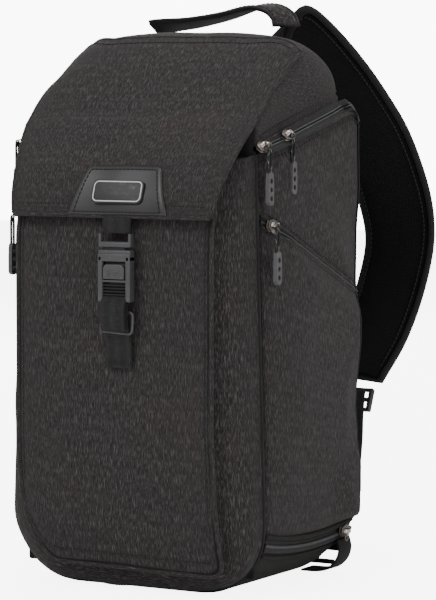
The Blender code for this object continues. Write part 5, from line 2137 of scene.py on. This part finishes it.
@dataclass
class Handle:
    """Grab handle over the back of the top: fabric outside, webbing inside."""

    route: tuple[tuple[float, float, float], ...] = (
        (-56, 66, 394.5), (-46, 68, 397.0), (-25, 70, 399.0), (2, 70, 403.5), (26, 70, 409.5), (41, 70, 408.5),
        (50, 69, 403.0), (54, 67, 396.0))
    twist: float = 0.42

    def build(self) -> None:
        """Build both layers and the stitching along the edges."""
        path = smooth_path(self.route, 6)
        last = len(path) - 1

        def thick(i: int, along: Vector) -> Vector:
            """Return the handle's outward direction at a point."""
            up = Vector((-along.z, 0, along.x))
            turn = self.twist * (1 - 2 * i / last)
            across = Vector((0, 1, 0)) * math.cos(turn) - up * math.sin(turn)
            return -across.cross(along)

        outer = [Vector((p.x, p.y + 0.9)) for p in rounded_rectangle(24.0, 1.9, 0.8, 2)]
        inner = [Vector((p.x, p.y - 0.8)) for p in rounded_rectangle(22.6, 1.7, 0.7, 2)]
        made = Piece("handle_outer")
        made.sweep(path, outer, HEATHER, up=thick)
        made.finish_as("handle", ["grab_handle"], slot=Slot.WEBBING)
        under = Piece("handle_inner")
        under.sweep(path, inner, NYLON, up=thick)
        for shift in (-9.6, 9.6):
            line = []
            for i, point in enumerate(path):
                along = (path[min(i + 1, last)] - path[max(i - 1, 0)]).normalized()
                out = thick(i, along)
                line.append(point + along.cross(out).normalized() * shift + out * 1.9)
            under.stitches(line, THREAD, steady(0, 0, 1))
        under.finish_as("handle", slot=Slot.NYLON)


@dataclass
class Sling:
    """Shoulder strap: padded, with its webbing, adjuster and anchor."""

    outer: tuple[tuple[float, float, float], ...] = (
        (40, 86.8, 384), (44, 91, 402), (53, 98, 412.5), (63, 115, 402), (74, 145, 376.5), (84, 172, 347),
        (92, 195, 316), (99, 214, 272), (100, 219, 235), (98, 206, 196), (94, 184, 160), (86, 160, 130))
    inner: tuple[tuple[float, float, float], ...] = (
        (-10, 86.8, 358), (1, 93, 368), (11, 107, 375), (15, 125, 372), (21, 150, 356), (28, 174, 334), (34, 194, 308),
        (41, 212, 268), (46, 216, 234), (45, 203, 198), (43, 181, 164), (46, 158, 134))
    web: tuple[tuple[float, float, float], ...] = (
        (68, 140.5, 108), (72, 131, 86), (76, 117, 59), (78, 104, 38), (78, 95.5, 28))
    thick: float = 8.0

    def build(self) -> None:
        """Build the padded part, its edging, and the lower end's hardware."""
        steps = 9
        far, near = smooth_path(self.outer, steps), smooth_path(self.inner, steps)
        far, near = even_path(far, 90), even_path(near, 90)
        last = len(far) - 1

        def deep(i: int) -> Vector:
            """Return the direction from the outer face to the face against the wearer."""
            along = far[min(i + 1, last)] + near[min(i + 1, last)] - far[max(i - 1, 0)] - near[max(i - 1, 0)]
            return -(far[i] - near[i]).cross(along).normalized()

        deeps = [deep(i) for i in range(last + 1)]

        def layer(base: float, depth: float, crown: float) -> Place:
            """Return the surface of a layer, closed round its section."""
            def place(u: float, v: float) -> Vector:
                """Return a point round the layer."""
                i = round(v * last)
                upper = u <= 0.5
                part = u * 2 if upper else 2 - u * 2
                wide = 0.03 + 0.94 * part
                arch = math.sin(math.pi * part) ** 0.6
                level = base if upper else base + depth * (0.35 + 0.65 * arch)
                wave = ripple(near[i].lerp(far[i], wide), 36, 0.8, 7.0) * arch
                return near[i].lerp(far[i], wide) + deeps[i] * (level + (crown * arch + wave) * (not upper))
            return place

        pad = Piece("strap_pad")
        pad.lay(layer(2.2, 5.4, 0.6), MESH, (140, 430), (36, last), closed=True, capped=True)
        pad.finish_as("root", ["sling_strap"])
        cover = Piece("strap_cover")
        cover.lay(layer(0.2, 1.9, 0.0), HEATHER, (140, 430), (28, last), closed=True, capped=True)
        cover.finish_as("root")
        edge = Piece("strap_binding")
        ups = [-d for d in deeps]
        for rail in (far, near):
            other = near if rail is far else far
            line = [p.lerp(q, 0.018) + d * 4.0 for p, q, d in zip(rail, other, deeps)]
            edge.sweep(line, [Vector((p.x * 0.62, p.y)) for p in circle(3.7, 12)], NYLON, up=lambda i, _: ups[i])
            row = [p.lerp(q, 0.10) + d * 7.9 for p, q, d in zip(rail, other, deeps)]
            edge.stitches(row[2:-2], THREAD, steady(0, -1, 0.2))
        edge.finish_as("root")
        self.lower_end()

    def lower_end(self) -> None:
        """Build the webbing, the ladder buckle and the sewn anchor."""
        webbing = Piece("strap_web")
        path = smooth_path([(66, 147.5, 126), *self.web], 6)
        webbing.sweep(path, rounded_rectangle(24.0, 1.8, 0.8, 2), WEBBING,
                      up=lambda _, along: Vector((1, 0, 0)).cross(along))
        webbing.finish_as("root", ["strap_webbing"])
        ladder = Piece("strap_ladder")
        turn = Matrix.Translation((67, 148.0, 118.5)) @ Matrix.Rotation(math.radians(-24), 4, "X")
        for low, high in (((-16.4, -2.4, -9), (-13.2, 2.4, 9)), ((13.2, -2.4, -9), (16.4, 2.4, 9)),
                          ((-14, -2.2, 6.4), (14, 2.2, 9)), ((-14, -2.4, -1.3), (14, 2.0, 1.4)),
                          ((-14, -2.2, -9), (14, 2.2, -6.4))):
            made = ladder.block(low, high, PLASTIC_DARK, 0.9, 2)
            bmesh.ops.transform(ladder.mesh, matrix=turn, verts=made)
        ladder.finish_as("root", ["strap_adjuster"])
        anchor = Piece("strap_root")
        anchor.block((59, 86.6, 13.5), (95, 90.8, 34), NYLON, 1.5, 3)
        anchor.stitches([Vector((63 + 28 * i / 12, 91.0, 17)) for i in range(13)], THREAD,
                        steady(0, 1, 0))
        anchor.stitches([Vector((63 + 28 * i / 12, 91.0, 30.5)) for i in range(13)], THREAD,
                        steady(0, 1, 0))
        anchor.finish_as("root", ["strap_anchor"])
        sewn = Piece("strap_yoke")
        sewn.lay(lambda u, v: Vector((-16 + 62 * u - 4 * v, 88.4 + 1.2 * math.sin(math.pi * u) + 0.8 * v,
                                      336 + (22 + 24 * u) * v)), NYLON, (60, 40), (14, 10),
                 outward=Vector((0, 1, 0)))
        sewn.finish_as("root", skin=1.2)


@dataclass
class Room:
    """Pale floor, soft lights and the camera."""

    eye: tuple[float, float, float] = (1.0919, -1.829, 0.357)
    aim: tuple[float, float, float] = (0.027, 0.0155, 0.200)
    lens: float = 178.9

    def build(self) -> None:
        """Build the floor, the world, the lights and the camera."""
        self.floor()
        self.lights()
        self.camera()

    def floor(self) -> None:
        """Lay the floor, just under the bag."""
        sheet = Piece("studio_floor_sheet")
        sheet.lay(lambda u, v: Vector(((u - 0.5) * 9000, (v - 0.5) * 9000, -0.4)), FLOOR, (9000, 9000), (4, 4),
                  outward=Vector((0, 0, 1)))
        bmesh.ops.scale(sheet.mesh, vec=(MM, MM, MM), verts=sheet.mesh.verts)
        data = bpy.data.meshes.new(sheet.name)
        sheet.mesh.to_mesh(data)
        sheet.mesh.free()
        data.materials.append(FLOOR.material())
        made = bpy.data.objects.new(sheet.name, data)
        bpy.context.scene.collection.objects.link(made)

    @staticmethod
    def lights() -> None:
        """Set the surround, brighter where the camera sees it directly, and four soft lamps."""
        world = bpy.data.worlds.new("soft_room")
        bpy.context.scene.world = world
        world.use_nodes = True
        back = world.node_tree.nodes["Background"]
        back.inputs["Color"].default_value = (1.0, 1.0, 1.0, 1.0)
        graph = Graph(world.node_tree)
        seen = graph.add("LightPath").outputs["Is Camera Ray"]
        graph.link(graph.math("ADD", graph.math("MULTIPLY", seen, 9.0), 0.75), back.inputs["Strength"])
        for name, place, size, power in (("key", (-0.6, -1.9, 1.9), 1.3, 42.0), ("fill", (2.2, -0.9, 0.9), 1.6, 26.0),
                                         ("top", (0.2, 0.4, 2.2), 1.2, 20.0), ("rear", (-1.2, 1.9, 1.2), 1.2, 22.0)):
            lamp = bpy.data.lights.new(name, "AREA")
            lamp.shape, lamp.size, lamp.energy = "DISK", size, power
            made = bpy.data.objects.new(name, lamp)
            made.location = place
            made.rotation_euler = (Vector((0, 0, 0.2)) - Vector(place)).to_track_quat("-Z", "Y").to_euler()
            bpy.context.scene.collection.objects.link(made)

    def camera(self) -> None:
        """Set the camera."""
        lens = bpy.data.cameras.new("studio_camera")
        lens.lens, lens.sensor_width = self.lens, 36.0
        made = bpy.data.objects.new("studio_camera", lens)
        made.location = self.eye
        made.rotation_euler = (Vector(self.aim) - Vector(self.eye)).to_track_quat("-Z", "Y").to_euler()
        bpy.context.scene.collection.objects.link(made)
        bpy.context.scene.camera = made


def main() -> None:
    """Build every sub-assembly in order."""
    Effects.build()
    parts = [Room(), Hood(), Flap(), Buckle(), FrontPocket(), *(SideAccess(side) for side in Side), Base(), Interior(),
             Back(), Handle(), Sling()]
    for part in parts:
        LOG.info("building %s", type(part).__name__)
        part.build()
    bpy.context.view_layer.update()


if __name__ == "__main__":
    logging.basicConfig(level=logging.INFO, format="%(name)s %(message)s")
    main()
